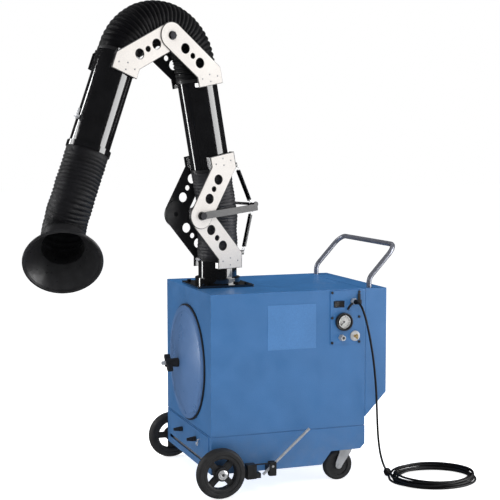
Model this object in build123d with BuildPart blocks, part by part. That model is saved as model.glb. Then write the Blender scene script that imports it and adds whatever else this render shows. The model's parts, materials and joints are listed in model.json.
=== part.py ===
from build123d import *
from math import cos, pi, radians, sin, tan
import os

os.makedirs("parts", exist_ok=True)

# Mobile fume extractor: a filter cabinet on wheels with a two-link extraction arm.
# Millimetres. The floor is Z = 0, +X points to the push handle and +Y to the far side.

# ---------------------------------------------------------------- cart sizes
FRONT_X = -47  # door face of the cabinet
MID_Y = 20  # middle of the cabinet across its width
CAB_LENGTH = 660
CAB_WIDTH = 626
CAB_TOP = 797
SEAM = 236  # underside of the cabinet
SEAM_GAP = 4
BASE_BOTTOM = 84
TAIL_X = CAB_LENGTH - 148
BASE_FLAT = TAIL_X - 42  # length of the low part of the base
CASTER_R = 62
SHELF_Z = 2 * CASTER_R + 33  # where the caster plates are bolted
TAIL_CORNER = 20
TAIL_Z = SHELF_Z - TAIL_CORNER
SHEET = 3
EDGE_R = 2
SIDE = CAB_WIDTH / 2
HOUSING_LENGTH = 95
HOUSING_KNEE = 366  # where the rear face starts to slant in
HOUSING_FOOT = 267
HOUSING_GAP = 2  # joint line between the cabinet and the rear housing
AIRWAY_MARGIN = 100
LOUVRE = (200, 10)
LOUVRE_PITCH = (230, 26)
LOUVRE_ROWS = 8
LOUVRE_Z = 640
PARTITION_X = CAB_LENGTH - 170
FIT = 0.06  # radial running clearance
GAP = 0.3  # clearance between soft or sliding pieces

# filter door
DOOR_Z = 485
DOOR_R = 233
DOOR_HOLE_R = DOOR_R - 21
DOOR_DISH = 36
DOOR_LIP = 6
DOOR_RIM = 20
SEAL_T = 6
SEAL_R = DOOR_R + 7
SEAL_WIDTH = 16
ROD_R = 8
KNOB_REACH = 55
KNOB_SPAN = 84
STUD_OUT = 16
KNOB_HUB_R = 19
KNOB_ARM_W = 20
ROD_HEAD = 8
FILTER_CAP = 14
FILTER_CAP_LIP = 8
FILTER_R = DOOR_HOLE_R - 22
FILTER_BORE = 115
FILTER_START = 30

# dust drawer in the base
DRAWER_OPEN_W = CAB_WIDTH - 66
DRAWER_OPEN_LOW = 110
DRAWER_OPEN_HIGH = 222
DRAWER_LENGTH = 320
DRAWER_BOTTOM = 129
DRAWER_FRONT_LOW = 126
FRONT_OVERLAP = 5
DRAWER_SIDE_GAP = 8
RAIL_OVERLAP = 30
CHUTE_MARGIN = 60
TRAY_WALL = 2
TRAY_DROP = 10  # tray rim below the top of its opening
CLAMP_YS = (-117, 75)
CLAMP_Z = 187
CLAMP_R = 10
CLAMP_LENGTH = 38
CLAMP_SHANK_R = 4
CLAMP_NUT_R = 9
CLAMP_FLAT = 6  # half the thickness of its grip

# wheels
WHEEL_R = 100
WHEEL_X = 25
WHEEL_OUT = 42  # wheel middle to the cabinet side
WHEEL_W = 48
AXLE_R = 10
AXLE_COLLAR_R = AXLE_R + 5
RIM_R = WHEEL_R - 40
HUB_R = 27
SPOKE_W = 24
SPOKE_LENGTH = 40
SPOKE_T = 9
CASTER_X = CAB_LENGTH - 57
CASTER_IN = 65  # swivel axis to the cabinet side
CASTER_TRAIL = 37
CASTER_W = 30
KING_R = 9
KING_LENGTH = 27
CASTER_PLATE = (86, 104)
CASTER_BOLTS = (66, 82)
CASTER_AXLE_R = 6
CROWN_R = 33
FORK_T = 4

# push handle
HANDLE_R = 10.5
HANDLE_WALL = 2
HANDLE_X = CAB_LENGTH + 30
HANDLE_IN = 30
HANDLE_BEND_Z = CAB_TOP + 38
HANDLE_REACH = 122
HANDLE_BAR_Z = CAB_TOP + 171
HANDLE_BEND_R = 50
HANDLE_DEEP = 40  # how far its legs go down into the housing

# control panel on the near side
PANEL_X0 = CAB_LENGTH - 155
PANEL_X1 = CAB_LENGTH - 22
PANEL_Z1 = CAB_TOP - 5
PANEL_Z0 = PANEL_Z1 - 218
PANEL_T = 4
PANEL_MARGIN = 12
SCREW_IN = 7
SCREW_HEAD_R = 5.5
SCREW_HEAD = 3
SWITCH = (PANEL_X0 + 37, PANEL_Z1 - 54)
SWITCH_W = 42
SWITCH_H = 22
GAUGE = (PANEL_X0 + 57, PANEL_Z1 - 126)
GAUGE_R = 36.5
GAUGE_DEPTH = 14
GAUGE_BACK = 30
DIAL_DEEP = 3  # dial above the panel
NEEDLE_HUB_R = 4
NEEDLE_PIN_R = 2
NEEDLE_LENGTH = 34
GLAND = (PANEL_X0 + 101, PANEL_Z1 - 45)
GLAND_R = 9
GLAND_OUT = 24
GLAND_BACK = 18
NUT_T = 8  # hexagons of the gland and the air coupling
AIR_PORT = (PANEL_X0 + 47, PANEL_Z1 - 190)
AIR_BORE_R = 5.7
AIR_STEM_R = 7.5
AIR_BODY_R = 10
AIR_OUT = 26
AIR_BACK = 14
AIR_BORE_LENGTH = 24
LOCK = (PANEL_X0 + 107, PANEL_Z1 - 186)
LOCK_R = 21
LOCK_T = 5
LOCK_BACK = 20
KEY_R = 6
KEY_SEAT = 13
BOW_R = 10.5
HOOK_X = PANEL_X0 + 124
HOOK_W = 11
HOOK_TOP = PANEL_Z1 - 13
HOOK_H = 42
HOOK_REACH = 15

# fan
INLET_COUNT = 4
INLET_R = 0.35 * FILTER_BORE
INLET_RING_R = 0.6 * FILTER_BORE
IMPELLER_R = 140
IMPELLER_W = 60
SCROLL_R = 165
SCROLL_W = 84
SHAFT_R = 9
MOTOR_R = 62
MOTOR_GAP = 8
FIN_COUNT = 16
SHAFT_DEPTH = 40
BLADE_COUNT = 12
BLADE_LEAN = 35
IMPELLER_HUB_R = 24
IMPELLER_HUB_BACK = 20

# brake
BRAKE_OUT = 45
BRAKE_PIVOT = (238, 112)
BRAKE_TOP = (397, 249)
BRAKE_LOW = (200, 80)
BRAKE_ROD_R = 5.5
BRAKE_PIN_R = 5
BRAKE_GAP = 6.5  # shoe to tyre when the brake is off
GUIDE_Z = 120
GUIDE_R = 2.9
GUIDE_OUT = 90
CHEEK_OUT = 10  # middle of each cheek from the lever's plane
BRAKE_W = 28
BRAKE_FOOT = 74
SHOE_BACK = 168
SHOE_Z = 99
SHOE_H = 58
SHOE_HALF = 18
BOSS_R = 11

# ---------------------------------------------------------------- arm sizes
COLUMN_X = 137
COLUMN_Y = 23
ARM_TURN = 19  # the arm's plane, measured from the cabinet's long axis
FLANGE = 240
FLANGE_T = 10
FLANGE_COLLAR = 26
FLANGE_BOLTS = FLANGE - 50
FLANGE_BOLT_R = 9
DUCT_R = 80
DUCT_WALL = 2
PIVOT_OFFSET = 150  # every pivot to the axis of the tubes it joins
SHOULDER_Z = CAB_TOP + 297
INNER_LEAN = 11
INNER_LENGTH = 727
OUTER_FOLD = 31.8  # angle between the two tubes
OUTER_LENGTH = 543
PLATE_BAND = 53
PLATE_SLANT = 41.5
TAB_NEAR = PIVOT_OFFSET - DUCT_R + 20
TAB_FAR = PIVOT_OFFSET + DUCT_R - 20
TAB_END = 222
PLATE_T = 3
COVER_T = 2
PLATE_N = DUCT_R + 4  # inner face of the plates that carry the pivots
OUTER_LAYER = PLATE_N + PLATE_T + COVER_T + 1.2  # inner face of the inner link's plates
COVER_INSET = 2.5
PIVOT_R = 10
HOSE_WALL = 2.4
HOSE_R = DUCT_R + 0.6 + HOSE_WALL
COLUMN_CUFF = 194
INNER_LOW_CUFF = 157
INNER_TOP_CUFF = 200
OUTER_CUFF = 136
TUBE_OVERLAP = 40  # how far a tube reaches into its hose
LOWER_HOSE_BEND = 700
ELBOW_BEND = 185
LEVER_LENGTH = 285
LEVER_H = 28
LEVER_T = 5
LEVER_N = OUTER_LAYER + PLATE_T + COVER_T + 2.3
SPRING_N = DUCT_R - 14
SPRING_R = 8
SPRING_ROD_R = 6
ROD_END_IN = 7
ROD_PAST_SPRING = 15
LUG_T = PIVOT_OFFSET + DUCT_R + 4
LUG_S = 155
DAMPER_S = 430
DAMPER_ROD_R = 4
HOOD_R = 150
HOOD_DEPTH = 130
HOOD_NECK_R = HOSE_R + 1
HOOD_WALL = 3
HOOD_PIVOT_BACK = HOSE_R - 19  # hood tilt axis behind the hood's neck
HOOD_BEND = HOSE_R + 5
HOOD_SWING_BEND = 250
HOOD_REACH = 795  # middle of the hood's mouth from the column
HOOD_ASIDE = HOSE_R + 21
HOOD_DROP = 2 * HOSE_R - 16  # and below the shoulder pivot
COLLAR_WIDTH = 22
HOOD_HOSE_DROP = 200  # straight part of the hood hose


def cart(x, y, z):
    """A point given from the door face, the middle of the width and the floor."""
    return Vector(FRONT_X + x, MID_Y + y, z)


SIDE_VIEW = Plane(cart(0, 0, 0), x_dir=(1, 0, 0), z_dir=(0, -1, 0))
NEAR_FACE = Plane(cart(0, -SIDE, 0), x_dir=(1, 0, 0), z_dir=(0, -1, 0))


def level(x, y, z):
    return Plane(cart(x, y, z))


def facing_x(x, y, z):
    """Plane across the cart's length, with local x to the far side and local y up."""
    return Plane(cart(x, y, z), x_dir=(0, 1, 0), z_dir=(1, 0, 0))


def side_plane(x, y, z):
    return Plane(cart(x, y, z), x_dir=(1, 0, 0), z_dir=(0, -1, 0))


def finish(builder, name):
    builder.part.label = name
    export_step(builder.part, f"parts/{name}.step")


# ---------------------------------------------------------------- base
base_top = SEAM - SEAM_GAP
with BuildPart() as base_housing:
    with BuildSketch(SIDE_VIEW):
        with BuildLine():
            Polyline(
                (0, BASE_BOTTOM),
                (BASE_FLAT, BASE_BOTTOM),
                (TAIL_X, TAIL_Z),
                (TAIL_X, SHELF_Z),
                (CAB_LENGTH, SHELF_Z),
                (CAB_LENGTH, base_top),
                (0, base_top),
                close=True,
            )
        make_face()
    extrude(amount=SIDE, both=True)
    fillet(base_housing.edges().filter_by(Axis.Z).group_by(Axis.X)[0], EDGE_R)
    offset(amount=-SHEET, openings=base_housing.faces().sort_by(Axis.Z)[-1])
    with BuildSketch(level(CAB_LENGTH / 2, 0, base_top - SHEET)):
        Rectangle(CAB_LENGTH - SHEET - 1, CAB_WIDTH - SHEET - 1)
        Rectangle(CAB_LENGTH - 40, CAB_WIDTH - 40, mode=Mode.SUBTRACT)
    extrude(amount=SHEET + SEAM_GAP)
    for side in (-1, 1):
        with BuildSketch(SIDE_VIEW.offset(side * (SIDE - SHEET / 2))):
            with BuildLine():
                Polyline(
                    (TAIL_X - SHEET, TAIL_Z - SHEET),
                    (TAIL_X, TAIL_Z),
                    (CAB_LENGTH - TAIL_CORNER, TAIL_Z),
                    (CAB_LENGTH, SHELF_Z),
                    (CAB_LENGTH, SHELF_Z + SHEET),
                    (TAIL_X - SHEET, SHELF_Z + SHEET),
                    close=True,
                )
            make_face()
        extrude(amount=SHEET / 2, both=True)
    # drawer opening and the two rails that the tray slides on
    drawer_mid_z = (DRAWER_OPEN_LOW + DRAWER_OPEN_HIGH) / 2
    with BuildSketch(facing_x(-1, 0, drawer_mid_z)):
        Rectangle(DRAWER_OPEN_W, DRAWER_OPEN_HIGH - DRAWER_OPEN_LOW)
    extrude(amount=SHEET + 2, mode=Mode.SUBTRACT)
    rail_top = DRAWER_BOTTOM - GAP
    rail_in = DRAWER_OPEN_W / 2 - RAIL_OVERLAP
    rail_w = SIDE - SHEET + 1 - rail_in
    for side in (-1, 1):
        with BuildSketch(level(DRAWER_LENGTH / 2, side * (rail_in + rail_w / 2), rail_top)):
            Rectangle(DRAWER_LENGTH, rail_w)
        extrude(amount=-SHEET)
    with BuildSketch(side_plane(WHEEL_X, 0, WHEEL_R)):
        Circle(AXLE_R + FIT)
    extrude(amount=SIDE + 1, both=True, mode=Mode.SUBTRACT)
finish(base_housing, "base_housing")

# ---------------------------------------------------------------- cabinet
with BuildPart() as cabinet:
    with BuildSketch(level(CAB_LENGTH / 2, 0, SEAM)):
        Rectangle(CAB_LENGTH, CAB_WIDTH)
    extrude(amount=CAB_TOP - SEAM)
    fillet(cabinet.edges().filter_by(Axis.Z), EDGE_R)
    fillet(cabinet.faces().sort_by(Axis.Z)[-1].edges(), EDGE_R)
    with BuildSketch(level(CAB_LENGTH / 2, 0, SEAM + SHEET)):
        Rectangle(CAB_LENGTH - 2 * SHEET, CAB_WIDTH - 2 * SHEET)
    extrude(amount=CAB_TOP - SEAM - 2 * SHEET, mode=Mode.SUBTRACT)
    with BuildSketch(facing_x(-1, 0, DOOR_Z)):
        Circle(DOOR_HOLE_R)
    extrude(amount=SHEET + 2, mode=Mode.SUBTRACT)
    with BuildSketch(level(COLUMN_X, COLUMN_Y, CAB_TOP + 1)):
        Circle(DUCT_R - DUCT_WALL)
    extrude(amount=-SHEET - 2, mode=Mode.SUBTRACT)
    with BuildSketch(level(DRAWER_LENGTH / 2 + 20, 0, SEAM - 1)):
        Rectangle(DRAWER_LENGTH - CHUTE_MARGIN, DRAWER_OPEN_W - CHUTE_MARGIN)
    extrude(amount=SHEET + 2, mode=Mode.SUBTRACT)
    panel_mid = ((PANEL_X0 + PANEL_X1) / 2, (PANEL_Z0 + PANEL_Z1) / 2)
    panel_w = PANEL_X1 - PANEL_X0
    panel_h = PANEL_Z1 - PANEL_Z0
    with BuildSketch(NEAR_FACE.offset(1)):
        with Locations(panel_mid):
            Rectangle(panel_w - 2 * PANEL_MARGIN, panel_h - 2 * PANEL_MARGIN)
    extrude(amount=-SHEET - 2, mode=Mode.SUBTRACT)
    with BuildSketch(facing_x(CAB_LENGTH + 1, 0, (HOUSING_FOOT + CAB_TOP) / 2)):
        Rectangle(CAB_WIDTH - 2 * AIRWAY_MARGIN, CAB_TOP - HOUSING_FOOT - 2 * AIRWAY_MARGIN)
    extrude(amount=-SHEET - 2, mode=Mode.SUBTRACT)
finish(cabinet, "cabinet")

# Rear housing, set 2 mm off the cabinet on a recessed collar, which leaves a dark joint line.
with BuildPart() as rear_housing:
    with BuildSketch(SIDE_VIEW):
        with BuildLine():
            Polyline(
                (CAB_LENGTH + HOUSING_GAP, HOUSING_FOOT + HOUSING_GAP),
                (CAB_LENGTH + HOUSING_LENGTH, HOUSING_KNEE),
                (CAB_LENGTH + HOUSING_LENGTH, CAB_TOP),
                (CAB_LENGTH + HOUSING_GAP, CAB_TOP),
                close=True,
            )
        make_face()
    extrude(amount=SIDE, both=True)
    fillet(rear_housing.edges().filter_by(Axis.Y).group_by(Axis.X)[-1], EDGE_R)
    offset(amount=-SHEET, openings=rear_housing.faces().sort_by(Axis.X)[0])
    with BuildSketch(facing_x(CAB_LENGTH, 0, (HOUSING_FOOT + CAB_TOP) / 2)):
        Rectangle(CAB_WIDTH - SHEET, CAB_TOP - HOUSING_FOOT - 8)
        Rectangle(CAB_WIDTH - 24, CAB_TOP - HOUSING_FOOT - 30, mode=Mode.SUBTRACT)
    extrude(amount=5)
    # outlet louvres in the rear face
    with BuildSketch(facing_x(CAB_LENGTH + HOUSING_LENGTH + 1, 0, LOUVRE_Z)):
        with GridLocations(*LOUVRE_PITCH, 2, LOUVRE_ROWS):
            SlotOverall(*LOUVRE)
    extrude(amount=-SHEET - 2, mode=Mode.SUBTRACT)
    handle_y = SIDE - HANDLE_IN
    for side in (-1, 1):
        with BuildSketch(level(HANDLE_X, side * handle_y, CAB_TOP + 1)):
            Circle(HANDLE_R)
        extrude(amount=-SHEET - 2, mode=Mode.SUBTRACT)
finish(rear_housing, "rear_housing")

# ---------------------------------------------------------------- filter and door
door_axis = Axis(cart(0, 0, DOOR_Z), (1, 0, 0))
# Local x runs outwards from the door face and local y is the radius.
door_profile = Plane(cart(0, 0, DOOR_Z), x_dir=(-1, 0, 0), z_dir=(0, 1, 0))

with BuildPart() as door_seal:
    with BuildSketch(door_profile):
        with BuildLine():
            Polyline(
                (GAP, SEAL_R - SEAL_WIDTH),
                (SEAL_T, SEAL_R - SEAL_WIDTH),
                (SEAL_T, SEAL_R),
                (GAP, SEAL_R),
                close=True,
            )
        make_face()
    revolve(axis=door_axis)
finish(door_seal, "door_seal")

door_top = SEAL_T + DOOR_DISH
with BuildPart() as filter_door:
    with BuildSketch(door_profile):
        with BuildLine():
            rim = DOOR_R - DOOR_RIM
            Polyline(
                (SEAL_T, rim),
                (SEAL_T, DOOR_R),
                (SEAL_T + DOOR_LIP, DOOR_R),
                (SEAL_T + DOOR_LIP, rim),
            )
            TangentArc((door_top, ROD_R + 1), (SEAL_T + DOOR_LIP, rim), tangent=(0, 1))
            Line((door_top, ROD_R + 1), (door_top - SHEET, ROD_R + 1))
            TangentArc((door_top - SHEET, ROD_R + 1), (SEAL_T, rim), tangent=(0, 1))
        make_face()
    revolve(axis=door_axis)
finish(filter_door, "filter_door")

rod_tip = door_top + KNOB_REACH + STUD_OUT
with BuildPart() as tie_rod:
    with BuildSketch(facing_x(PARTITION_X, 0, DOOR_Z)):
        Circle(ROD_R)
    extrude(amount=-PARTITION_X - rod_tip)
    chamfer(tie_rod.faces().sort_by(Axis.X)[0].edges(), 1.5)
    with BuildSketch(facing_x(PARTITION_X, 0, DOOR_Z)):
        Circle(ROD_R * 2.2)
    extrude(amount=-ROD_HEAD)
finish(tie_rod, "tie_rod")

knob_start = door_top + 1
arm_depth = 24
with BuildPart() as door_knob:
    with BuildSketch(facing_x(-knob_start, 0, DOOR_Z)):
        Circle(KNOB_HUB_R)
    extrude(amount=-(KNOB_REACH - 1), taper=3)
    with BuildSketch(facing_x(-door_top - KNOB_REACH + arm_depth, 0, DOOR_Z)):
        with PolarLocations(0, 2, start_angle=45):
            SlotOverall(KNOB_SPAN, KNOB_ARM_W)
    extrude(amount=-arm_depth + 3)
    fillet(door_knob.faces().filter_by(Axis.X).sort_by(Axis.X)[1].outer_wire().edges(), 2)
    with BuildSketch(facing_x(0, 0, DOOR_Z)):
        Circle(ROD_R + FIT)
    extrude(amount=-rod_tip, mode=Mode.SUBTRACT)
finish(door_knob, "door_knob")

with BuildPart() as filter_cartridge:
    with BuildSketch(facing_x(FILTER_START, 0, DOOR_Z)):
        Circle(FILTER_R - FILTER_CAP_LIP)
        Circle(FILTER_BORE, mode=Mode.SUBTRACT)
    extrude(amount=PARTITION_X - FILTER_START)
    for x in (FILTER_START, PARTITION_X - FILTER_CAP):
        with BuildSketch(facing_x(x, 0, DOOR_Z)):
            Circle(FILTER_R)
            Circle(FILTER_BORE, mode=Mode.SUBTRACT)
        extrude(amount=FILTER_CAP)
finish(filter_cartridge, "filter_cartridge")

# ---------------------------------------------------------------- fan
scroll_x = PARTITION_X + SHEET
motor_x = scroll_x + SCROLL_W
# The scroll stands on the bulkhead that closes the filter chamber.
with BuildPart() as fan_scroll:
    with BuildSketch(facing_x(PARTITION_X, 0, (CAB_TOP + SEAM) / 2)):
        Rectangle(CAB_WIDTH - 2 * SHEET, CAB_TOP - SEAM - 2 * SHEET)
        with Locations((0, DOOR_Z - (CAB_TOP + SEAM) / 2)):
            with PolarLocations(INLET_RING_R, INLET_COUNT, start_angle=45):
                Circle(INLET_R, mode=Mode.SUBTRACT)
    extrude(amount=SHEET)
    with BuildSketch(facing_x(scroll_x, 0, DOOR_Z)):
        Circle(SCROLL_R)
        with Locations((SCROLL_R / 2, SCROLL_R * 0.6)):
            Rectangle(SCROLL_R, SCROLL_R * 1.2)
    extrude(amount=SCROLL_W)
    with BuildSketch(facing_x(scroll_x + SHEET, 0, DOOR_Z)):
        Circle(SCROLL_R - SHEET)
        with Locations((SCROLL_R / 2, SCROLL_R * 0.6)):
            Rectangle(SCROLL_R - 2 * SHEET, SCROLL_R * 1.2 + 1)
    extrude(amount=SCROLL_W - 2 * SHEET, mode=Mode.SUBTRACT)
    with BuildSketch(facing_x(scroll_x - 1, 0, DOOR_Z)):
        Circle(FILTER_BORE)
    extrude(amount=SHEET + 2, mode=Mode.SUBTRACT)
    with BuildSketch(facing_x(motor_x - SHEET - 1, 0, DOOR_Z)):
        Circle(SHAFT_R + 2)
    extrude(amount=SHEET + 2, mode=Mode.SUBTRACT)
finish(fan_scroll, "fan_scroll")

motor_length = CAB_LENGTH - SHEET - MOTOR_GAP - motor_x
with BuildPart() as fan_motor:
    with BuildSketch(facing_x(motor_x, 0, DOOR_Z)):
        Circle(MOTOR_R)
    extrude(amount=motor_length)
    fillet(fan_motor.faces().sort_by(Axis.X)[-1].edges(), 6)
    with BuildSketch(facing_x(motor_x + 6, 0, DOOR_Z)):
        with PolarLocations(MOTOR_R + 3, FIN_COUNT):
            Rectangle(10, 3)
    extrude(amount=motor_length - 14)
    with BuildSketch(facing_x(motor_x - 1, 0, DOOR_Z)):
        Circle(SHAFT_R + FIT)
    extrude(amount=SHAFT_DEPTH + 1, mode=Mode.SUBTRACT)
finish(fan_motor, "fan_motor")

impeller_x = scroll_x + (SCROLL_W - IMPELLER_W) / 2
with BuildPart() as fan_impeller:
    with BuildSketch(facing_x(impeller_x + IMPELLER_W - 3, 0, DOOR_Z)):
        Circle(IMPELLER_R)
    extrude(amount=3)
    with BuildSketch(facing_x(impeller_x, 0, DOOR_Z)):
        Circle(IMPELLER_R)
        Circle(FILTER_BORE - 20, mode=Mode.SUBTRACT)
    extrude(amount=3)
    with BuildSketch(facing_x(impeller_x, 0, DOOR_Z)):
        with PolarLocations(IMPELLER_R * 0.83, BLADE_COUNT):
            Rectangle(IMPELLER_R * 0.3, 3, rotation=BLADE_LEAN)
    extrude(amount=IMPELLER_W)
    hub_x = impeller_x + IMPELLER_HUB_BACK
    with BuildSketch(facing_x(hub_x, 0, DOOR_Z)):
        Circle(IMPELLER_HUB_R)
    extrude(amount=IMPELLER_W - IMPELLER_HUB_BACK)
    with BuildSketch(facing_x(hub_x, 0, DOOR_Z)):
        Circle(SHAFT_R)
    extrude(amount=motor_x + SHAFT_DEPTH - 1 - hub_x)
finish(fan_impeller, "fan_impeller")

# ---------------------------------------------------------------- dust drawer
tray_w = DRAWER_OPEN_W - 2 * DRAWER_SIDE_GAP
tray_top = DRAWER_OPEN_HIGH - TRAY_DROP
front_w = DRAWER_OPEN_W + 2 * FRONT_OVERLAP
front_top = DRAWER_OPEN_HIGH + FRONT_OVERLAP
with BuildPart() as dust_drawer:
    with BuildSketch(level((DRAWER_LENGTH - 1) / 2, 0, DRAWER_BOTTOM)):
        Rectangle(DRAWER_LENGTH, tray_w)
    extrude(amount=tray_top - DRAWER_BOTTOM)
    offset(amount=-TRAY_WALL, openings=dust_drawer.faces().sort_by(Axis.Z)[-1])
    with BuildSketch(facing_x(-GAP, 0, (front_top + DRAWER_FRONT_LOW) / 2)):
        Rectangle(front_w, front_top - DRAWER_FRONT_LOW)
    extrude(amount=-SHEET)
    fillet(dust_drawer.faces().sort_by(Axis.X)[0].edges(), 1)
    for clamp_y in CLAMP_YS:
        with BuildSketch(facing_x(-SHEET - 2, clamp_y, CLAMP_Z)):
            Circle(CLAMP_SHANK_R + FIT)
        extrude(amount=SHEET + 6, mode=Mode.SUBTRACT)
finish(dust_drawer, "dust_drawer")

for name, clamp_y in zip(("near_clamp_knob", "far_clamp_knob"), CLAMP_YS):
    clamp_profile = Plane(cart(-SHEET - 2 * GAP, clamp_y, CLAMP_Z), x_dir=(-1, 0, 0), z_dir=(0, 1, 0))
    with BuildPart() as clamp_knob:
        with BuildSketch(clamp_profile):
            with BuildLine():
                Polyline(
                    (-12, 0),
                    (-12, CLAMP_NUT_R),
                    (-9, CLAMP_NUT_R),
                    (-9, CLAMP_SHANK_R),
                    (0, CLAMP_SHANK_R),
                    (0, CLAMP_R),
                    (10, CLAMP_R),
                    (CLAMP_LENGTH, CLAMP_R * 0.6),
                    (CLAMP_LENGTH, 0),
                    close=True,
                )
            make_face()
        revolve(axis=Axis(cart(0, clamp_y, CLAMP_Z), (1, 0, 0)))
        for side in (-1, 1):
            with BuildSketch(clamp_profile.offset(side * CLAMP_FLAT)):
                with Locations((CLAMP_LENGTH / 2 + 12, 0)):
                    Rectangle(CLAMP_LENGTH, 3 * CLAMP_R)
            extrude(amount=side * CLAMP_R, mode=Mode.SUBTRACT)
    finish(clamp_knob, name)

# ---------------------------------------------------------------- push handle
with BuildPart() as push_handle:
    with BuildLine() as handle_path:
        FilletPolyline(
            cart(HANDLE_X, -handle_y, CAB_TOP - HANDLE_DEEP),
            cart(HANDLE_X, -handle_y, HANDLE_BEND_Z),
            cart(HANDLE_X + HANDLE_REACH, -handle_y, HANDLE_BAR_Z),
            cart(HANDLE_X + HANDLE_REACH, handle_y, HANDLE_BAR_Z),
            cart(HANDLE_X, handle_y, HANDLE_BEND_Z),
            cart(HANDLE_X, handle_y, CAB_TOP - HANDLE_DEEP),
            radius=HANDLE_BEND_R,
        )
    with BuildSketch(Plane(handle_path.line @ 0, z_dir=handle_path.line % 0)):
        Circle(HANDLE_R)
        Circle(HANDLE_R - HANDLE_WALL, mode=Mode.SUBTRACT)
    sweep()
finish(push_handle, "push_handle")

# ---------------------------------------------------------------- control panel
screw_dx = panel_w / 2 - SCREW_IN
screw_dz = panel_h / 2 - SCREW_IN
screw_spots = [(sx * screw_dx, sz * screw_dz) for sx in (-1, 1) for sz in (-1, 0, 1)]
panel_front = NEAR_FACE.offset(PANEL_T)
with BuildPart() as control_panel:
    with BuildSketch(NEAR_FACE):
        with Locations(panel_mid):
            RectangleRounded(panel_w, panel_h, 3)
            with Locations(screw_spots):
                Circle(3, mode=Mode.SUBTRACT)
        with Locations(SWITCH):
            Rectangle(SWITCH_W - 2, SWITCH_H - 2, mode=Mode.SUBTRACT)
        with Locations(GAUGE):
            Circle(GAUGE_R - 5, mode=Mode.SUBTRACT)
        with Locations(GLAND):
            Circle(GLAND_R, mode=Mode.SUBTRACT)
        with Locations(AIR_PORT):
            Circle(AIR_STEM_R + 0.5, mode=Mode.SUBTRACT)
        with Locations(LOCK):
            Circle(LOCK_R - 6, mode=Mode.SUBTRACT)
    extrude(amount=PANEL_T)
finish(control_panel, "control_panel")

with BuildPart() as panel_screws:
    with BuildSketch(panel_front):
        with Locations(panel_mid):
            with Locations(screw_spots):
                Circle(SCREW_HEAD_R)
    extrude(amount=SCREW_HEAD)
    fillet(panel_screws.faces().sort_by(Axis.Y)[:6].edges(), 1)
    with BuildSketch(panel_front):
        with Locations(panel_mid):
            with Locations(screw_spots):
                Circle(2.5)
    extrude(amount=-PANEL_T)
finish(panel_screws, "panel_screws")

switch_pivot = cart(SWITCH[0], -SIDE - PANEL_T + 3, SWITCH[1])
with BuildPart() as rocker_switch:
    with BuildSketch(Plane(switch_pivot)):
        with BuildLine():
            half = (SWITCH_W - 4) / 2
            Polyline((-half, 6), (-half, -7), (0, -4.5), (half, -7), (half, 6), close=True)
        make_face()
    extrude(amount=(SWITCH_H - 4) / 2, both=True)
finish(rocker_switch, "rocker_switch")

with BuildPart() as gauge_case:
    with BuildSketch(panel_front):
        with Locations(GAUGE):
            Circle(GAUGE_R)
    extrude(amount=GAUGE_DEPTH)
    fillet(gauge_case.faces().sort_by(Axis.Y)[0].edges(), 2)
    with BuildSketch(panel_front.offset(DIAL_DEEP)):
        with Locations(GAUGE):
            Circle(GAUGE_R - 4)
    extrude(amount=GAUGE_DEPTH, mode=Mode.SUBTRACT)
    with BuildSketch(panel_front):
        with Locations(GAUGE):
            Circle(GAUGE_R - 6)
    extrude(amount=-GAUGE_BACK)
    with BuildSketch(panel_front.offset(-2)):
        with Locations(GAUGE):
            Circle(NEEDLE_PIN_R + FIT)
    extrude(amount=6, mode=Mode.SUBTRACT)
finish(gauge_case, "gauge_case")

with BuildPart() as gauge_needle:
    with BuildSketch(panel_front.offset(6)):
        with Locations(GAUGE):
            Circle(NEEDLE_HUB_R)
            with Locations(Location((-10, -10), 45)):
                Trapezoid(NEEDLE_LENGTH, 3, 87, 87, rotation=0)
    extrude(amount=1.2)
    with BuildSketch(panel_front.offset(-1)):
        with Locations(GAUGE):
            Circle(NEEDLE_PIN_R)
    extrude(amount=8)
finish(gauge_needle, "gauge_needle")

with BuildPart() as cord_gland:
    with BuildSketch(panel_front.offset(-GLAND_BACK)):
        with Locations(GLAND):
            Circle(GLAND_R - 0.5)
    extrude(amount=GLAND_BACK)
    with BuildSketch(panel_front):
        with Locations(GLAND):
            RegularPolygon(GLAND_R + 5, 6)
    extrude(amount=NUT_T)
    with BuildSketch(panel_front.offset(NUT_T)):
        with Locations(GLAND):
            Circle(GLAND_R + 3)
    extrude(amount=GLAND_OUT - NUT_T, taper=7)
finish(cord_gland, "cord_gland")

with BuildPart() as cord_hook:
    with BuildSketch(panel_front):
        with Locations((HOOK_X, HOOK_TOP - HOOK_H / 2)):
            RectangleRounded(HOOK_W, HOOK_H, 3)
    extrude(amount=6)
    with BuildSketch(panel_front.offset(6)):
        with Locations((HOOK_X, HOOK_TOP - HOOK_H + 5)):
            RectangleRounded(HOOK_W, 10, 3)
    extrude(amount=HOOK_REACH - 6)
    with BuildSketch(panel_front.offset(HOOK_REACH)):
        with Locations((HOOK_X, HOOK_TOP - HOOK_H + 9)):
            RectangleRounded(HOOK_W, 18, 3)
    extrude(amount=3)
finish(cord_hook, "cord_hook")

with BuildPart() as air_coupling:
    with BuildSketch(panel_front.offset(-AIR_BACK)):
        with Locations(AIR_PORT):
            Circle(AIR_STEM_R)
    extrude(amount=AIR_BACK)
    with BuildSketch(panel_front):
        with Locations(AIR_PORT):
            RegularPolygon(AIR_BODY_R + 3, 6)
    extrude(amount=NUT_T)
    with BuildSketch(panel_front.offset(NUT_T)):
        with Locations(AIR_PORT):
            Circle(AIR_BODY_R)
    extrude(amount=AIR_OUT - NUT_T)
    with BuildSketch(panel_front.offset(12)):
        with Locations(AIR_PORT):
            Circle(AIR_BODY_R + 1.5)
    extrude(amount=8)
    with BuildSketch(panel_front.offset(AIR_OUT)):
        with Locations(AIR_PORT):
            Circle(AIR_BORE_R)
    extrude(amount=-AIR_BORE_LENGTH, mode=Mode.SUBTRACT)
finish(air_coupling, "air_coupling")

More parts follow.
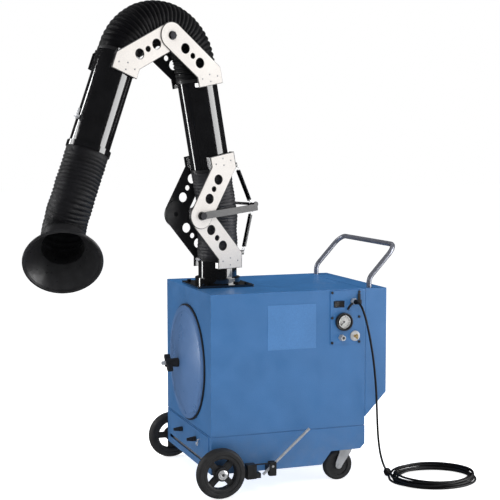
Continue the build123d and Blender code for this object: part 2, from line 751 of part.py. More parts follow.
with BuildPart() as lock_barrel:
    with BuildSketch(panel_front):
        with Locations(LOCK):
            Circle(LOCK_R)
    extrude(amount=LOCK_T)
    fillet(lock_barrel.faces().sort_by(Axis.Y)[0].edges(), 1.5)
    with BuildSketch(panel_front):
        with Locations(LOCK):
            Circle(LOCK_R - 7)
    extrude(amount=-LOCK_BACK)
    with BuildSketch(panel_front.offset(LOCK_T + 1)):
        with Locations(LOCK):
            Circle(KEY_R + FIT)
    extrude(amount=-LOCK_BACK, mode=Mode.SUBTRACT)
finish(lock_barrel, "lock_barrel")

with BuildPart() as panel_key:
    with BuildSketch(panel_front.offset(-KEY_SEAT)):
        with Locations(LOCK):
            Circle(KEY_R)
    extrude(amount=KEY_SEAT + 7)
    with BuildSketch(side_plane(LOCK[0], -SIDE - PANEL_T - 7, LOCK[1])):
        Rectangle(2.5, 9)
    extrude(amount=6)
    bow_plane = Plane(cart(LOCK[0], -SIDE - PANEL_T - 12, LOCK[1]), x_dir=(0, -1, 0), z_dir=(1, 0, 0))
    with BuildSketch(bow_plane):
        with Locations((10, 0)):
            Circle(BOW_R)
            Circle(4, mode=Mode.SUBTRACT)
    extrude(amount=1.25, both=True)
finish(panel_key, "panel_key")

# ---------------------------------------------------------------- front wheels
wheel_y = SIDE + WHEEL_OUT
axle_end = wheel_y + WHEEL_W / 2 + 4
with BuildPart() as front_axle:
    with BuildSketch(side_plane(WHEEL_X, 0, WHEEL_R)):
        Circle(AXLE_R)
    extrude(amount=axle_end, both=True)
    for side in (-1, 1):
        with BuildSketch(side_plane(WHEEL_X, side * (wheel_y + WHEEL_W / 2 + 0.5), WHEEL_R)):
            Circle(AXLE_COLLAR_R)
        extrude(amount=-side * 8)
        with BuildSketch(side_plane(WHEEL_X, side * (SIDE + GAP), WHEEL_R)):
            Circle(AXLE_COLLAR_R)
        extrude(amount=-side * (WHEEL_OUT - WHEEL_W / 2 - 1))
    fillet(front_axle.faces().sort_by(Axis.Y)[0].edges(), 4)
    fillet(front_axle.faces().sort_by(Axis.Y)[-1].edges(), 4)
finish(front_axle, "front_axle")

for name, side, spoke_turn in (("near_front_wheel", -1, 45), ("far_front_wheel", 1, 0)):
    wheel_plane = side_plane(WHEEL_X, side * wheel_y, WHEEL_R)
    wheel_axis = Axis(cart(WHEEL_X, 0, WHEEL_R), (0, 1, 0))
    tyre_profile = Plane(wheel_plane.origin, x_dir=(0, 1, 0), z_dir=(1, 0, 0))
    with BuildPart() as front_wheel:
        with BuildSketch(tyre_profile):
            with BuildLine():
                half = WHEEL_W / 2
                Polyline(
                    (-half + 6, RIM_R),
                    (half - 6, RIM_R),
                    (half - 3, RIM_R + 6),
                    (half - 3, RIM_R + 16),
                    (half, RIM_R + 18),
                    (half, WHEEL_R - 10),
                )
                ThreePointArc((half, WHEEL_R - 10), (0, WHEEL_R), (-half, WHEEL_R - 10))
                Polyline(
                    (-half, WHEEL_R - 10),
                    (-half, RIM_R + 18),
                    (-half + 3, RIM_R + 16),
                    (-half + 3, RIM_R + 6),
                    (-half + 6, RIM_R),
                )
            make_face()
        revolve(axis=wheel_axis)
        with BuildSketch(wheel_plane):
            Circle(HUB_R)
        extrude(amount=WHEEL_W / 2 - 1, both=True)
        with BuildSketch(wheel_plane):
            with PolarLocations(RIM_R - 16, 4, start_angle=spoke_turn):
                Rectangle(SPOKE_LENGTH, SPOKE_W)
        extrude(amount=SPOKE_T, both=True)
        with BuildSketch(wheel_plane):
            Circle(AXLE_R + FIT)
        extrude(amount=WHEEL_W, both=True, mode=Mode.SUBTRACT)
    finish(front_wheel, name)

# ---------------------------------------------------------------- casters
caster_y = SIDE - CASTER_IN
king_low = SHELF_Z - KING_LENGTH
with BuildPart() as caster_plates:
    for side in (-1, 1):
        with BuildSketch(level(CASTER_X, side * caster_y, SHELF_Z)):
            RectangleRounded(*CASTER_PLATE, 6)
            with GridLocations(*CASTER_BOLTS, 2, 2):
                Circle(4.5, mode=Mode.SUBTRACT)
        extrude(amount=-3)
        with BuildSketch(level(CASTER_X, side * caster_y, SHELF_Z)):
            Circle(KING_R)
        extrude(amount=-KING_LENGTH)
        with BuildSketch(level(CASTER_X, side * caster_y, king_low)):
            Circle(KING_R + 5)
        extrude(amount=5)
finish(caster_plates, "caster_plates")

crown_top = SHELF_Z - 3.6
crown_low = king_low + 5.6
leg_y = CASTER_W / 2 + 2
for prefix, side in (("near", -1), ("far", 1)):
    axle_x = CASTER_X - CASTER_TRAIL
    with BuildPart() as caster_fork:
        with BuildSketch(level(CASTER_X, side * caster_y, crown_low)):
            Circle(CROWN_R)
        extrude(amount=crown_top - crown_low)
        for leg_side in (-1, 1):
            middle = side * caster_y + leg_side * (leg_y + FORK_T / 2)
            with BuildSketch(side_plane(0, middle, 0)):
                with BuildLine():
                    Polyline(
                        (CASTER_X - 26, crown_low + 6),
                        (CASTER_X + 26, crown_low + 6),
                        (CASTER_X + 18, crown_low - 18),
                        (axle_x + 13, CASTER_R - 3),
                        (axle_x - 13, CASTER_R - 3),
                        (axle_x - 13, CASTER_R + 12),
                        close=True,
                    )
                make_face()
                with Locations((axle_x, CASTER_R)):
                    Circle(14)
            extrude(amount=FORK_T / 2, both=True)
        with BuildSketch(side_plane(axle_x, side * caster_y, CASTER_R)):
            Circle(CASTER_AXLE_R)
        extrude(amount=leg_y + FORK_T + 4, both=True)
        with BuildSketch(level(CASTER_X, side * caster_y, crown_top)):
            Circle(KING_R + FIT)
        extrude(amount=-(crown_top - crown_low), mode=Mode.SUBTRACT)
    finish(caster_fork, f"{prefix}_caster_fork")
    with BuildPart() as caster_wheel:
        with BuildSketch(side_plane(axle_x, side * caster_y, CASTER_R)):
            Circle(CASTER_R)
            Circle(CASTER_AXLE_R + FIT, mode=Mode.SUBTRACT)
        extrude(amount=CASTER_W / 2, both=True)
        rims = caster_wheel.edges().filter_by(GeomType.CIRCLE).sort_by(SortBy.RADIUS)[-2:]
        fillet(rims, 9)
        for face_side in (-1, 1):
            face_y = side * caster_y + face_side * CASTER_W / 2
            with BuildSketch(side_plane(axle_x, face_y, CASTER_R)):
                Circle(42)
                Circle(16, mode=Mode.SUBTRACT)
            extrude(amount=face_side * 5, mode=Mode.SUBTRACT)
    finish(caster_wheel, f"{prefix}_caster_wheel")

# ---------------------------------------------------------------- parking brake
brake_y = -SIDE - BRAKE_OUT
pivot_x, pivot_z = BRAKE_PIVOT
brake_view = side_plane(0, brake_y, 0)
with BuildPart() as brake_block:
    for cheek in (-1, 1):
        with BuildSketch(brake_view.offset(cheek * CHEEK_OUT)):
            with Locations((pivot_x, (pivot_z + 18 + BRAKE_FOOT) / 2)):
                RectangleRounded(BRAKE_W, pivot_z + 18 - BRAKE_FOOT, 4)
            with Locations(BRAKE_PIVOT):
                Circle(BRAKE_PIN_R + FIT, mode=Mode.SUBTRACT)
        extrude(amount=3, both=True)
    with BuildSketch(brake_view):
        with Locations((pivot_x, BRAKE_FOOT + 4)):
            Rectangle(BRAKE_W, 8)
    extrude(amount=9, both=True)
    with BuildSketch(side_plane(pivot_x, -SIDE, BASE_BOTTOM + 14)):
        Rectangle(BRAKE_W, 24)
    extrude(amount=BRAKE_OUT - 13)
    guide_x1 = pivot_x - 12
    with BuildSketch(facing_x(guide_x1, brake_y + CHEEK_OUT, GUIDE_Z)):
        Circle(GUIDE_R)
    extrude(amount=-GUIDE_OUT)
finish(brake_block, "brake_block")

with BuildPart() as brake_lever:
    with BuildLine():
        lever_line = Line(
            cart(BRAKE_LOW[0], brake_y, BRAKE_LOW[1]), cart(BRAKE_TOP[0], brake_y, BRAKE_TOP[1])
        )
    with BuildSketch(Plane(lever_line @ 0, z_dir=lever_line % 0)):
        Circle(BRAKE_ROD_R)
    sweep()
    with BuildSketch(side_plane(pivot_x, brake_y, pivot_z)):
        Circle(BOSS_R)
    extrude(amount=6.5, both=True)
    with BuildSketch(side_plane(pivot_x, brake_y, pivot_z)):
        Circle(BRAKE_PIN_R)
    extrude(amount=12.5, both=True)
finish(brake_lever, "brake_lever")

shoe_front = WHEEL_X + WHEEL_R + BRAKE_GAP
with BuildPart() as brake_shoe:
    with BuildSketch(brake_view):
        with Locations(((shoe_front + SHOE_BACK) / 2 - 4, SHOE_Z)):
            RectangleRounded(SHOE_BACK - shoe_front + 8, SHOE_H, 5)
        with Locations((SHOE_BACK + 6, 82)):
            Rectangle(22, 20)
        with Locations((WHEEL_X, WHEEL_R)):
            Circle(WHEEL_R + BRAKE_GAP, mode=Mode.SUBTRACT)
    extrude(amount=SHOE_HALF, both=True)
    with BuildSketch(facing_x(WHEEL_X, brake_y + CHEEK_OUT, GUIDE_Z)):
        Circle(GUIDE_R + FIT)
    extrude(amount=SHOE_BACK + 20, mode=Mode.SUBTRACT)
finish(brake_shoe, "brake_shoe")

# ---------------------------------------------------------------- arm frame
UP = Vector(0, 0, 1)
OUT = Vector(-cos(radians(ARM_TURN)), -sin(radians(ARM_TURN)), 0)
ACROSS = OUT.cross(UP)  # square to the arm's plane, to the far side
COLUMN_FOOT = cart(COLUMN_X, COLUMN_Y, 0)


def arm_point(u, n, z):
    """A point given by its reach from the column, its place across and its height."""
    return COLUMN_FOOT + OUT * u + ACROSS * n + UP * z


class Link:
    """One end of a tube: the pivot, and the directions to the tube's axis and along it."""

    def __init__(self, pivot, lean, axis_side, way, cuff):
        along = UP * cos(radians(lean)) + OUT * sin(radians(lean))
        square = OUT * cos(radians(lean)) - UP * sin(radians(lean))
        self.pivot = pivot
        self.along = along * way
        self.square = square * axis_side
        self.cuff = cuff
        self.plane = Plane(pivot, x_dir=self.square, z_dir=self.square.cross(self.along))

    def at(self, t, s, n=0):
        return self.pivot + self.square * t + self.along * s + ACROSS * n

    def across_tube(self, s):
        """Plane square to the tube, with local x along the arm's plane and its origin on the axis."""
        return Plane(self.at(PIVOT_OFFSET, s), x_dir=self.square, z_dir=self.along)


shoulder = arm_point(PIVOT_OFFSET, 0, SHOULDER_Z)
lean = radians(INNER_LEAN)
elbow = shoulder + (UP * cos(lean) + OUT * sin(lean)) * INNER_LENGTH
outer_lean = OUTER_FOLD - INNER_LEAN  # the outer tube from straight down

column_end = Link(shoulder, 0, -1, -1, COLUMN_CUFF)
inner_low = Link(shoulder, INNER_LEAN, -1, 1, INNER_LOW_CUFF)
inner_top = Link(elbow, INNER_LEAN, -1, -1, INNER_TOP_CUFF)
outer_end = Link(elbow, -outer_lean, 1, -1, OUTER_CUFF)

SLANT = radians(PLATE_SLANT)
HOLES = ((79, 20), (124, 11), (168, 20))


def plate_shape(inset=0):
    """One joint plate: a slanted band from the pivot that ends in a square tab."""
    half = PLATE_BAND - inset
    near, far, end = TAB_NEAR + inset, TAB_FAR - inset, TAB_END - inset
    rise = cos(SLANT) / sin(SLANT)
    rear_s = (far - half * cos(SLANT)) * rise - half * sin(SLANT)
    front_s = (near + half * cos(SLANT)) * rise + half * sin(SLANT)
    with BuildSketch() as shape:
        Circle(half)
        with BuildLine():
            Polyline(
                (half * cos(SLANT), -half * sin(SLANT)),
                (far, rear_s),
                (far, end),
                (near, end),
                (near, front_s),
                (-half * cos(SLANT), half * sin(SLANT)),
                close=True,
            )
        make_face()
        for reach, radius in HOLES:
            with Locations((reach * sin(SLANT), reach * cos(SLANT))):
                Circle(radius + inset / 2, mode=Mode.SUBTRACT)
    return shape.sketch


def joint_plates(link, first_n, thickness, bore, inset=0):
    """The near and the far plate of a joint, with their inner faces at first_n."""
    with BuildPart() as plates:
        for side in (-1, 1):
            facing = Plane(link.pivot, x_dir=link.square, z_dir=ACROSS * side).offset(first_n)
            turned = link.plane.z_dir.dot(ACROSS) * side < 0
            with BuildSketch(facing):
                if turned:
                    add(mirror(plate_shape(inset), about=Plane.XZ))
                else:
                    add(plate_shape(inset))
                Circle(bore, mode=Mode.SUBTRACT)
            extrude(amount=thickness)
    return plates.part


def spring_lugs(link, first_n):
    """A bent flange along each tab's rear edge, with a lug that a spring hooks on."""
    flange_in = SPRING_N - 3
    with BuildPart() as lugs:
        for side in (-1, 1):
            middle = side * (first_n + PLATE_T + flange_in) / 2
            edge = Plane(link.at(TAB_FAR - 1, (TAB_END + LUG_S) / 2, middle), x_dir=ACROSS, z_dir=link.square)
            with BuildSketch(edge):
                Rectangle(first_n + PLATE_T - flange_in, TAB_END - LUG_S)
            extrude(amount=PLATE_T)
            lug_plane = Plane(link.at(0, 0, side * SPRING_N), x_dir=link.square, z_dir=link.plane.z_dir)
            with BuildSketch(lug_plane):
                with Locations(((TAB_FAR + LUG_T) / 2, LUG_S + 6)):
                    Rectangle(LUG_T - TAB_FAR + 8, 20)
                with Locations((LUG_T, LUG_S + 6)):
                    Circle(3.5, mode=Mode.SUBTRACT)
            extrude(amount=1.5, both=True)
    return lugs.part


def saddles(link):
    """Blocks that carry the plates, from the tube's wall out to both sides."""
    low = link.cuff + 4
    high = TAB_END - 2
    with BuildPart() as blocks:
        for side in (-1, 1):
            outer = link.at(PIVOT_OFFSET, (low + high) / 2, side * PLATE_N)
            with BuildSketch(Plane(outer, x_dir=link.square, z_dir=ACROSS)):
                Rectangle(TAB_FAR - TAB_NEAR - 10, high - low)
            extrude(amount=-side * (PLATE_N - DUCT_R * 0.5))
    return blocks.part


# Swivel flange on the cabinet top, with a collar round the column and four bolts.
with BuildPart() as arm_flange:
    flange_low = Plane(COLUMN_FOOT + UP * CAB_TOP)
    with BuildSketch(flange_low):
        RectangleRounded(FLANGE, FLANGE, 4)
    extrude(amount=FLANGE_T)
    with BuildSketch(flange_low.offset(FLANGE_T)):
        Circle(DUCT_R + 14)
    extrude(amount=FLANGE_COLLAR)
    fillet(arm_flange.faces().sort_by(Axis.Z)[-1].edges(), 3)
    with BuildSketch(flange_low):
        Circle(DUCT_R + FIT)
    extrude(amount=FLANGE_T + FLANGE_COLLAR, mode=Mode.SUBTRACT)
    with BuildSketch(flange_low.offset(FLANGE_T)):
        with GridLocations(FLANGE_BOLTS, FLANGE_BOLTS, 2, 2):
            RegularPolygon(FLANGE_BOLT_R, 6)
    extrude(amount=7)
finish(arm_flange, "arm_flange")

column_low = CAB_TOP + 1
column_high = SHOULDER_Z - COLUMN_CUFF + TUBE_OVERLAP
with BuildPart() as column_tube:
    with BuildSketch(Plane(COLUMN_FOOT + UP * column_low)):
        Circle(DUCT_R)
    extrude(amount=column_high - column_low)
    add(saddles(column_end))
    with BuildSketch(Plane(COLUMN_FOOT + UP * column_low)):
        Circle(DUCT_R - DUCT_WALL)
    extrude(amount=column_high - column_low, mode=Mode.SUBTRACT)
finish(column_tube, "column_tube")

inner_tube_low = INNER_LOW_CUFF - TUBE_OVERLAP
inner_tube_high = INNER_LENGTH - INNER_TOP_CUFF + TUBE_OVERLAP
with BuildPart() as inner_tube:
    with BuildSketch(inner_low.across_tube(inner_tube_low)):
        Circle(DUCT_R)
    extrude(amount=inner_tube_high - inner_tube_low)
    add(saddles(inner_low))
    add(saddles(inner_top))
    with BuildSketch(inner_low.across_tube(inner_tube_low)):
        Circle(DUCT_R - DUCT_WALL)
    extrude(amount=inner_tube_high - inner_tube_low, mode=Mode.SUBTRACT)
finish(inner_tube, "inner_tube")

with BuildPart() as outer_tube:
    with BuildSketch(outer_end.across_tube(OUTER_CUFF - 30)):
        Circle(DUCT_R)
    extrude(amount=OUTER_LENGTH - OUTER_CUFF + 60)
    add(saddles(outer_end))
    with BuildSketch(outer_end.across_tube(OUTER_CUFF - 30)):
        Circle(DUCT_R - DUCT_WALL)
    extrude(amount=OUTER_LENGTH - OUTER_CUFF + 60, mode=Mode.SUBTRACT)
    with BuildSketch(Plane(outer_end.at(PIVOT_OFFSET, DAMPER_S), z_dir=outer_end.square)):
        Circle(DAMPER_ROD_R + FIT)
    extrude(amount=DUCT_R + 10, mode=Mode.SUBTRACT)
finish(outer_tube, "outer_tube")

with BuildPart() as column_plates:
    add(joint_plates(column_end, PLATE_N, PLATE_T, PIVOT_R + FIT))
    add(spring_lugs(column_end, PLATE_N))
finish(column_plates, "column_plates")

with BuildPart() as inner_plates:
    add(joint_plates(inner_low, OUTER_LAYER, PLATE_T, PIVOT_R))
    add(spring_lugs(inner_low, OUTER_LAYER))
    add(joint_plates(inner_top, OUTER_LAYER, PLATE_T, PIVOT_R))
finish(inner_plates, "inner_plates")

with BuildPart() as outer_plates:
    add(joint_plates(outer_end, PLATE_N, PLATE_T, PIVOT_R + FIT))
finish(outer_plates, "outer_plates")

cover_bore = PIVOT_R + 8
with BuildPart() as column_covers:
    add(joint_plates(column_end, PLATE_N + PLATE_T, COVER_T, cover_bore, COVER_INSET))
finish(column_covers, "column_covers")

with BuildPart() as inner_covers:
    add(joint_plates(inner_low, OUTER_LAYER + PLATE_T, COVER_T, cover_bore, COVER_INSET))
    add(joint_plates(inner_top, OUTER_LAYER + PLATE_T, COVER_T, cover_bore, COVER_INSET))
finish(inner_covers, "inner_covers")

with BuildPart() as outer_covers:
    add(joint_plates(outer_end, PLATE_N + PLATE_T, COVER_T, cover_bore, COVER_INSET))
finish(outer_covers, "outer_covers")

# Stub pivots: each is fixed in the inner link's plate and turns in the plate behind it.
plate_out = OUTER_LAYER + PLATE_T
lever_out = LEVER_N + LEVER_T
with BuildPart() as arm_pivots:
    for pivot, outer_n in ((shoulder, lever_out + 1), (elbow, plate_out + 3)):
        for side in (-1, 1):
            stub = Plane(pivot + ACROSS * (side * (PLATE_N - 0.4)), x_dir=OUT, z_dir=ACROSS * side)
            with BuildSketch(stub):
                Circle(PIVOT_R)
            extrude(amount=outer_n - PLATE_N + 0.4)
            with BuildSketch(stub.offset(PLATE_T + 1)):
                Circle(PIVOT_R + 5)
            extrude(amount=OUTER_LAYER - PLATE_N - PLATE_T - 0.6)
            with BuildSketch(stub.offset(outer_n - PLATE_N + 0.4)):
                RegularPolygon(PIVOT_R + 6, 6)
            extrude(amount=8)
finish(arm_pivots, "arm_pivots")

# ---------------------------------------------------------------- balance levers and springs
half_lean = INNER_LEAN / 2
lever_frame = Link(shoulder, half_lean, -1, 1, 0)
rod_t = LEVER_LENGTH - ROD_END_IN
rod_s = LEVER_H / 2 - 1
for name, side in (("near_balance_lever", -1), ("far_balance_lever", 1)):
    rod_end = side * rod_s
    with BuildPart() as balance_lever:
        with BuildSketch(lever_frame.plane.offset(side * LEVER_N)):
            Circle(LEVER_H / 2 + 3)
            with Locations((LEVER_LENGTH / 2, 0)):
                Rectangle(LEVER_LENGTH, LEVER_H)
            with Locations((rod_t, rod_end)):
                Circle(11)
            Circle(PIVOT_R + FIT, mode=Mode.SUBTRACT)
        extrude(amount=side * LEVER_T)
        with BuildSketch(lever_frame.plane.offset(side * LEVER_N)):
            with Locations((rod_t, rod_end)):
                Circle(SPRING_ROD_R)
        extrude(amount=-side * (LEVER_N + SPRING_N + ROD_PAST_SPRING))
    finish(balance_lever, name)

spring_ends = {
    "lower_springs": (column_end.at(LUG_T, LUG_S), lever_frame.at(rod_t, -rod_s)),
    "upper_springs": (inner_low.at(LUG_T, LUG_S), lever_frame.at(rod_t, rod_s)),
}
for name, (lug, rod) in spring_ends.items():
    pull = (rod - lug).normalized()
    with BuildPart() as springs:
        for side in (-1, 1):
            start = lug + ACROSS * (side * SPRING_N) + pull * 6
            with BuildSketch(Plane(start, x_dir=ACROSS, z_dir=pull)):
                Circle(SPRING_R)
            extrude(amount=(rod - lug).length - 6 - 7)
    finish(springs, name)

# ---------------------------------------------------------------- hoses
hose_bore = HOSE_R - HOSE_WALL


def tube_along(path, radius, bore):
    with BuildPart() as tube:
        with BuildSketch(Plane(path.line @ 0, z_dir=path.line % 0)):
            Circle(radius)
            Circle(bore, mode=Mode.SUBTRACT)
        sweep(path=path.line)
    return tube.part


bend_start = LOWER_HOSE_BEND * tan(lean / 2)
bend_mid = SHOULDER_Z + PIVOT_OFFSET * tan(lean / 2)
with BuildPart() as lower_hose:
    with BuildLine() as lower_path:
        straight = Line(column_end.at(PIVOT_OFFSET, COLUMN_CUFF), arm_point(0, 0, bend_mid - bend_start))
        tilt = inner_low.at(PIVOT_OFFSET, INNER_LOW_CUFF)
        FilletPolyline(
            straight @ 1,
            arm_point(0, 0, bend_mid),
            tilt,
            radius=LOWER_HOSE_BEND * 0.7,
        )
    add(tube_along(lower_path, HOSE_R, hose_bore))
finish(lower_hose, "lower_hose")

elbow_rise = (ELBOW_BEND - PIVOT_OFFSET) / tan(radians(OUTER_FOLD / 2))
elbow_start = inner_top.at(PIVOT_OFFSET, elbow_rise)
elbow_stop = outer_end.at(PIVOT_OFFSET, elbow_rise)
elbow_centre = inner_top.at(PIVOT_OFFSET - ELBOW_BEND, elbow_rise)
elbow_apex = elbow_centre + (elbow - elbow_centre).normalized() * ELBOW_BEND
with BuildPart() as elbow_hose:
    with BuildLine() as elbow_path:
        Line(inner_top.at(PIVOT_OFFSET, INNER_TOP_CUFF), elbow_start)
        ThreePointArc(elbow_start, elbow_apex, elbow_stop)
        Line(elbow_stop, outer_end.at(PIVOT_OFFSET, OUTER_CUFF))
    add(tube_along(elbow_path, HOSE_R, hose_bore))
finish(elbow_hose, "elbow_hose")

# ---------------------------------------------------------------- hood
HOOD_FACE = arm_point(HOOD_REACH, -HOOD_ASIDE, SHOULDER_Z - HOOD_DROP)
HOOD_WAY = (OUT * 0.420 - ACROSS * 0.725 - UP * 0.545).normalized()
hood_base = HOOD_FACE - HOOD_WAY * HOOD_DEPTH
tube_foot = outer_end.at(PIVOT_OFFSET, OUTER_LENGTH)
with BuildPart() as hood_hose:
    with BuildLine() as hood_path:
        FilletPolyline(
            tube_foot,
            outer_end.at(PIVOT_OFFSET, OUTER_LENGTH + HOOD_HOSE_DROP),
            hood_base - HOOD_WAY * HOOD_PIVOT_BACK,
            hood_base,
            radius=[HOOD_SWING_BEND, HOOD_BEND],
        )
    add(tube_along(hood_path, HOSE_R, hose_bore))
finish(hood_hose, "hood_hose")

# Swivel collar on the foot of the outer tube; the hood hose hangs from it.
with BuildPart() as hood_collar:
    with BuildSketch(outer_end.across_tube(OUTER_LENGTH - COLLAR_WIDTH)):
        Circle(HOSE_R + 4)
        Circle(DUCT_R + FIT, mode=Mode.SUBTRACT)
    extrude(amount=COLLAR_WIDTH)
finish(hood_collar, "hood_collar")

hood_profile = Plane(HOOD_FACE, x_dir=HOOD_WAY, z_dir=HOOD_WAY.cross(UP).normalized())
with BuildPart() as hood:
    with BuildSketch(hood_profile):
        with BuildLine():
            neck_in = -HOOD_DEPTH
            Line((neck_in, HOOD_NECK_R - HOOD_WALL), (neck_in, HOOD_NECK_R))
            Line((neck_in, HOOD_NECK_R), (-95, HOOD_NECK_R))
            ThreePointArc((-95, HOOD_NECK_R), (-45, 116), (-8, HOOD_R - 6))
            Line((-8, HOOD_R - 6), (-4, HOOD_R - 9))
            ThreePointArc((-4, HOOD_R - 9), (-43, 113), (-93, HOOD_NECK_R - HOOD_WALL))
            Line((-93, HOOD_NECK_R - HOOD_WALL), (neck_in, HOOD_NECK_R - HOOD_WALL))
        make_face()
        with Locations((-6, HOOD_R - 6)):
            Circle(6)
    revolve(axis=Axis(HOOD_FACE, HOOD_WAY))
finish(hood, "hood")

blade_plane = Plane(outer_end.at(PIVOT_OFFSET, DAMPER_S), x_dir=outer_end.square, z_dir=ACROSS)
with BuildPart() as damper_lever:
    with BuildSketch(blade_plane):
        Circle(DUCT_R - DUCT_WALL - 4)
    extrude(amount=1, both=True)
    with BuildSketch(Plane(outer_end.at(PIVOT_OFFSET - 30, DAMPER_S), z_dir=outer_end.square)):
        Circle(DAMPER_ROD_R)
    extrude(amount=30 + DUCT_R + 10)
    with BuildSketch(Plane(outer_end.at(PIVOT_OFFSET + DUCT_R + 4, DAMPER_S), z_dir=outer_end.square)):
        Circle(9)
    extrude(amount=14)
    with BuildSketch(blade_plane):
        with Locations((DUCT_R + 11, 10)):
            RectangleRounded(8, 44, 3)
    extrude(amount=3, both=True)
finish(damper_lever, "damper_lever")

# ---------------------------------------------------------------- mains cord
CORD_R = 4.5
CORD_ROUTE = [
    (606, -341, 747),
    (606, -375, 747),
    (608, -404, 725),
    (618, -415, 683),
    (638, -407, 612),
    (664, -389, 512),
    (685, -370, 390),
    (695, -358, 278),
    (704, -349, 190),
    (717, -341, 120),
    (735, -335, 67),
    (757, -328, 31),
    (788, -317, 9),
    (826, -299, 6),
]
COIL_X = 938
COIL_Y = -392
COIL_OUTER = (188, 170)
COIL_INNER = (138, 120)
COIL_HEIGHT = 37
PLUG_R = 16
PLUG_TAIL = (776, -298, PLUG_R)
PLUG_LEAD_END = (758, -352, 5)
PLUG_BODY = 36
PLUG_TAPER = 12
PLUG_NECK_R = 8
PIN_R = 2.4
PIN_LENGTH = 19
PIN_GAP = 19


def corner_radii(points):
    """The largest tangent arc for each corner: 0.45 of its shorter run."""
    radii = []
    for before, corner, after in zip(points, points[1:], points[2:]):
        turn = (corner - before).get_angle(after - corner)
        shorter = min((corner - before).length, (after - corner).length)
        radii.append(0.45 * shorter / tan(radians(turn / 2)))
    return radii


route = [cart(*point) for point in CORD_ROUTE]
cord_radii = corner_radii(route)
print("cord radii", [round(radius) for radius in cord_radii])
with BuildPart() as power_cord:
    with BuildLine() as cord_line:
        FilletPolyline(*route, radius=cord_radii)
    with BuildSketch(Plane(cord_line.line @ 0, z_dir=cord_line.line % 0)):
        Circle(CORD_R)
    sweep()
cord_length = cord_line.wires()[0].length
cord_ratio = power_cord.part.volume / (pi * CORD_R**2 * cord_length)
print("cord length", round(cord_length), "volume ratio", round(cord_ratio, 4))
finish(power_cord, "power_cord")

with BuildPart() as cord_coil:
    with BuildSketch(level(COIL_X, COIL_Y, 0)):
        Ellipse(*COIL_OUTER)
        Ellipse(*COIL_INNER, mode=Mode.SUBTRACT)
    extrude(amount=COIL_HEIGHT)
finish(cord_coil, "cord_coil")

plug_tail = cart(*PLUG_TAIL)
lead_end = cart(*PLUG_LEAD_END)
lead_way = (lead_end - plug_tail).normalized()
plug_way = Vector(lead_way.X, lead_way.Y, 0).normalized() * -1
plug_start = Plane(plug_tail, z_dir=plug_way)
with BuildPart() as mains_plug:
    with BuildSketch(plug_start):
        Circle(PLUG_NECK_R)
    with BuildSketch(plug_start.offset(PLUG_TAPER)):
        Circle(PLUG_R)
    loft()
    with BuildSketch(plug_start.offset(PLUG_TAPER)):
        Circle(PLUG_R)
    extrude(amount=PLUG_BODY - PLUG_TAPER)
    with BuildSketch(plug_start.offset(PLUG_BODY)):
        with GridLocations(PIN_GAP, PIN_GAP, 2, 1):
            Circle(PIN_R)
    extrude(amount=PIN_LENGTH)
    with BuildSketch(Plane(plug_tail - lead_way * 3, z_dir=lead_way)):
        Circle(CORD_R)
    extrude(amount=(lead_end - plug_tail).length + 3)
finish(mains_plug, "mains_plug")
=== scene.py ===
import json
from math import cos, pi, radians, sin, tan

import bpy
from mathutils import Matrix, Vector, noise


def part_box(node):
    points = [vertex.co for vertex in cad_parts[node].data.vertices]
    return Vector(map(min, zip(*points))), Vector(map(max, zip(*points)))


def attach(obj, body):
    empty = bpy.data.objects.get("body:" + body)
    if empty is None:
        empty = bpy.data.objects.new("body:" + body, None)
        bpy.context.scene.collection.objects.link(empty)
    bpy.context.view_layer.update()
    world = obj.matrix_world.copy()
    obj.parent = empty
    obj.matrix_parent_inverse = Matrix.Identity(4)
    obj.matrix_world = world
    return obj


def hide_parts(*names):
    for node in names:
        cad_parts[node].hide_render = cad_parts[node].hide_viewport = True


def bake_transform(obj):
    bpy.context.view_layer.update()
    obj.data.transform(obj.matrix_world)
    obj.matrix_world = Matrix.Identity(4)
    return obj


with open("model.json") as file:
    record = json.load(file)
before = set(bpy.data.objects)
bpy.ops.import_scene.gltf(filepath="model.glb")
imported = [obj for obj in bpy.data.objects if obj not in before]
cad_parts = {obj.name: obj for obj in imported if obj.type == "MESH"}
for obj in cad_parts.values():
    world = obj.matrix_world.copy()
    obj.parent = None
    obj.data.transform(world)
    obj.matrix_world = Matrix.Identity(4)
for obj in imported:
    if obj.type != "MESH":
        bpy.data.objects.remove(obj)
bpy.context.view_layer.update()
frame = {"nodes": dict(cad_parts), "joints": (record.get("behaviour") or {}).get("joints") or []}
nodes = frame["nodes"]
joints = {joint["name"]: joint for joint in frame["joints"]}
UP = Vector((0, 0, 1))

# ------------------------------------------------------------ places taken from the frame
cab_low, cab_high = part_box("cabinet")
MID_Y = (cab_low.y + cab_high.y) / 2
SHOULDER = Vector(joints["shoulder_tilt"]["pos_m"])
ELBOW = Vector(joints["elbow_fold"]["pos_m"])
ACROSS = Vector(joints["shoulder_tilt"]["axis"]).normalized()
OUT = UP.cross(ACROSS)
OUTER_WAY = Vector(joints["hood_swivel"]["axis"]).normalized()
OUTER_FOOT = Vector(joints["hood_swivel"]["pos_m"])
HOOD_PIVOT = Vector(joints["hood_tilt"]["pos_m"])
INNER_WAY = (ELBOW - SHOULDER).normalized()
PIVOT_OFFSET = 0.150


def cart(x, y, z):
    """A point given in millimetres from the door face, the middle of the width and the floor."""
    return Vector((cab_low.x + x / 1000, MID_Y + y / 1000, z / 1000))


class Link:
    """One end of a tube: its pivot, the way along it, and the way from the pivot to its axis."""

    def __init__(self, pivot, way, square):
        self.pivot, self.way, self.square = pivot, way, square

    def at(self, t, s, n=0.0):
        """A point t towards the tube's axis, s along it and n across the arm, in millimetres."""
        return self.pivot + (self.square * t + self.way * s + ACROSS * n) / 1000


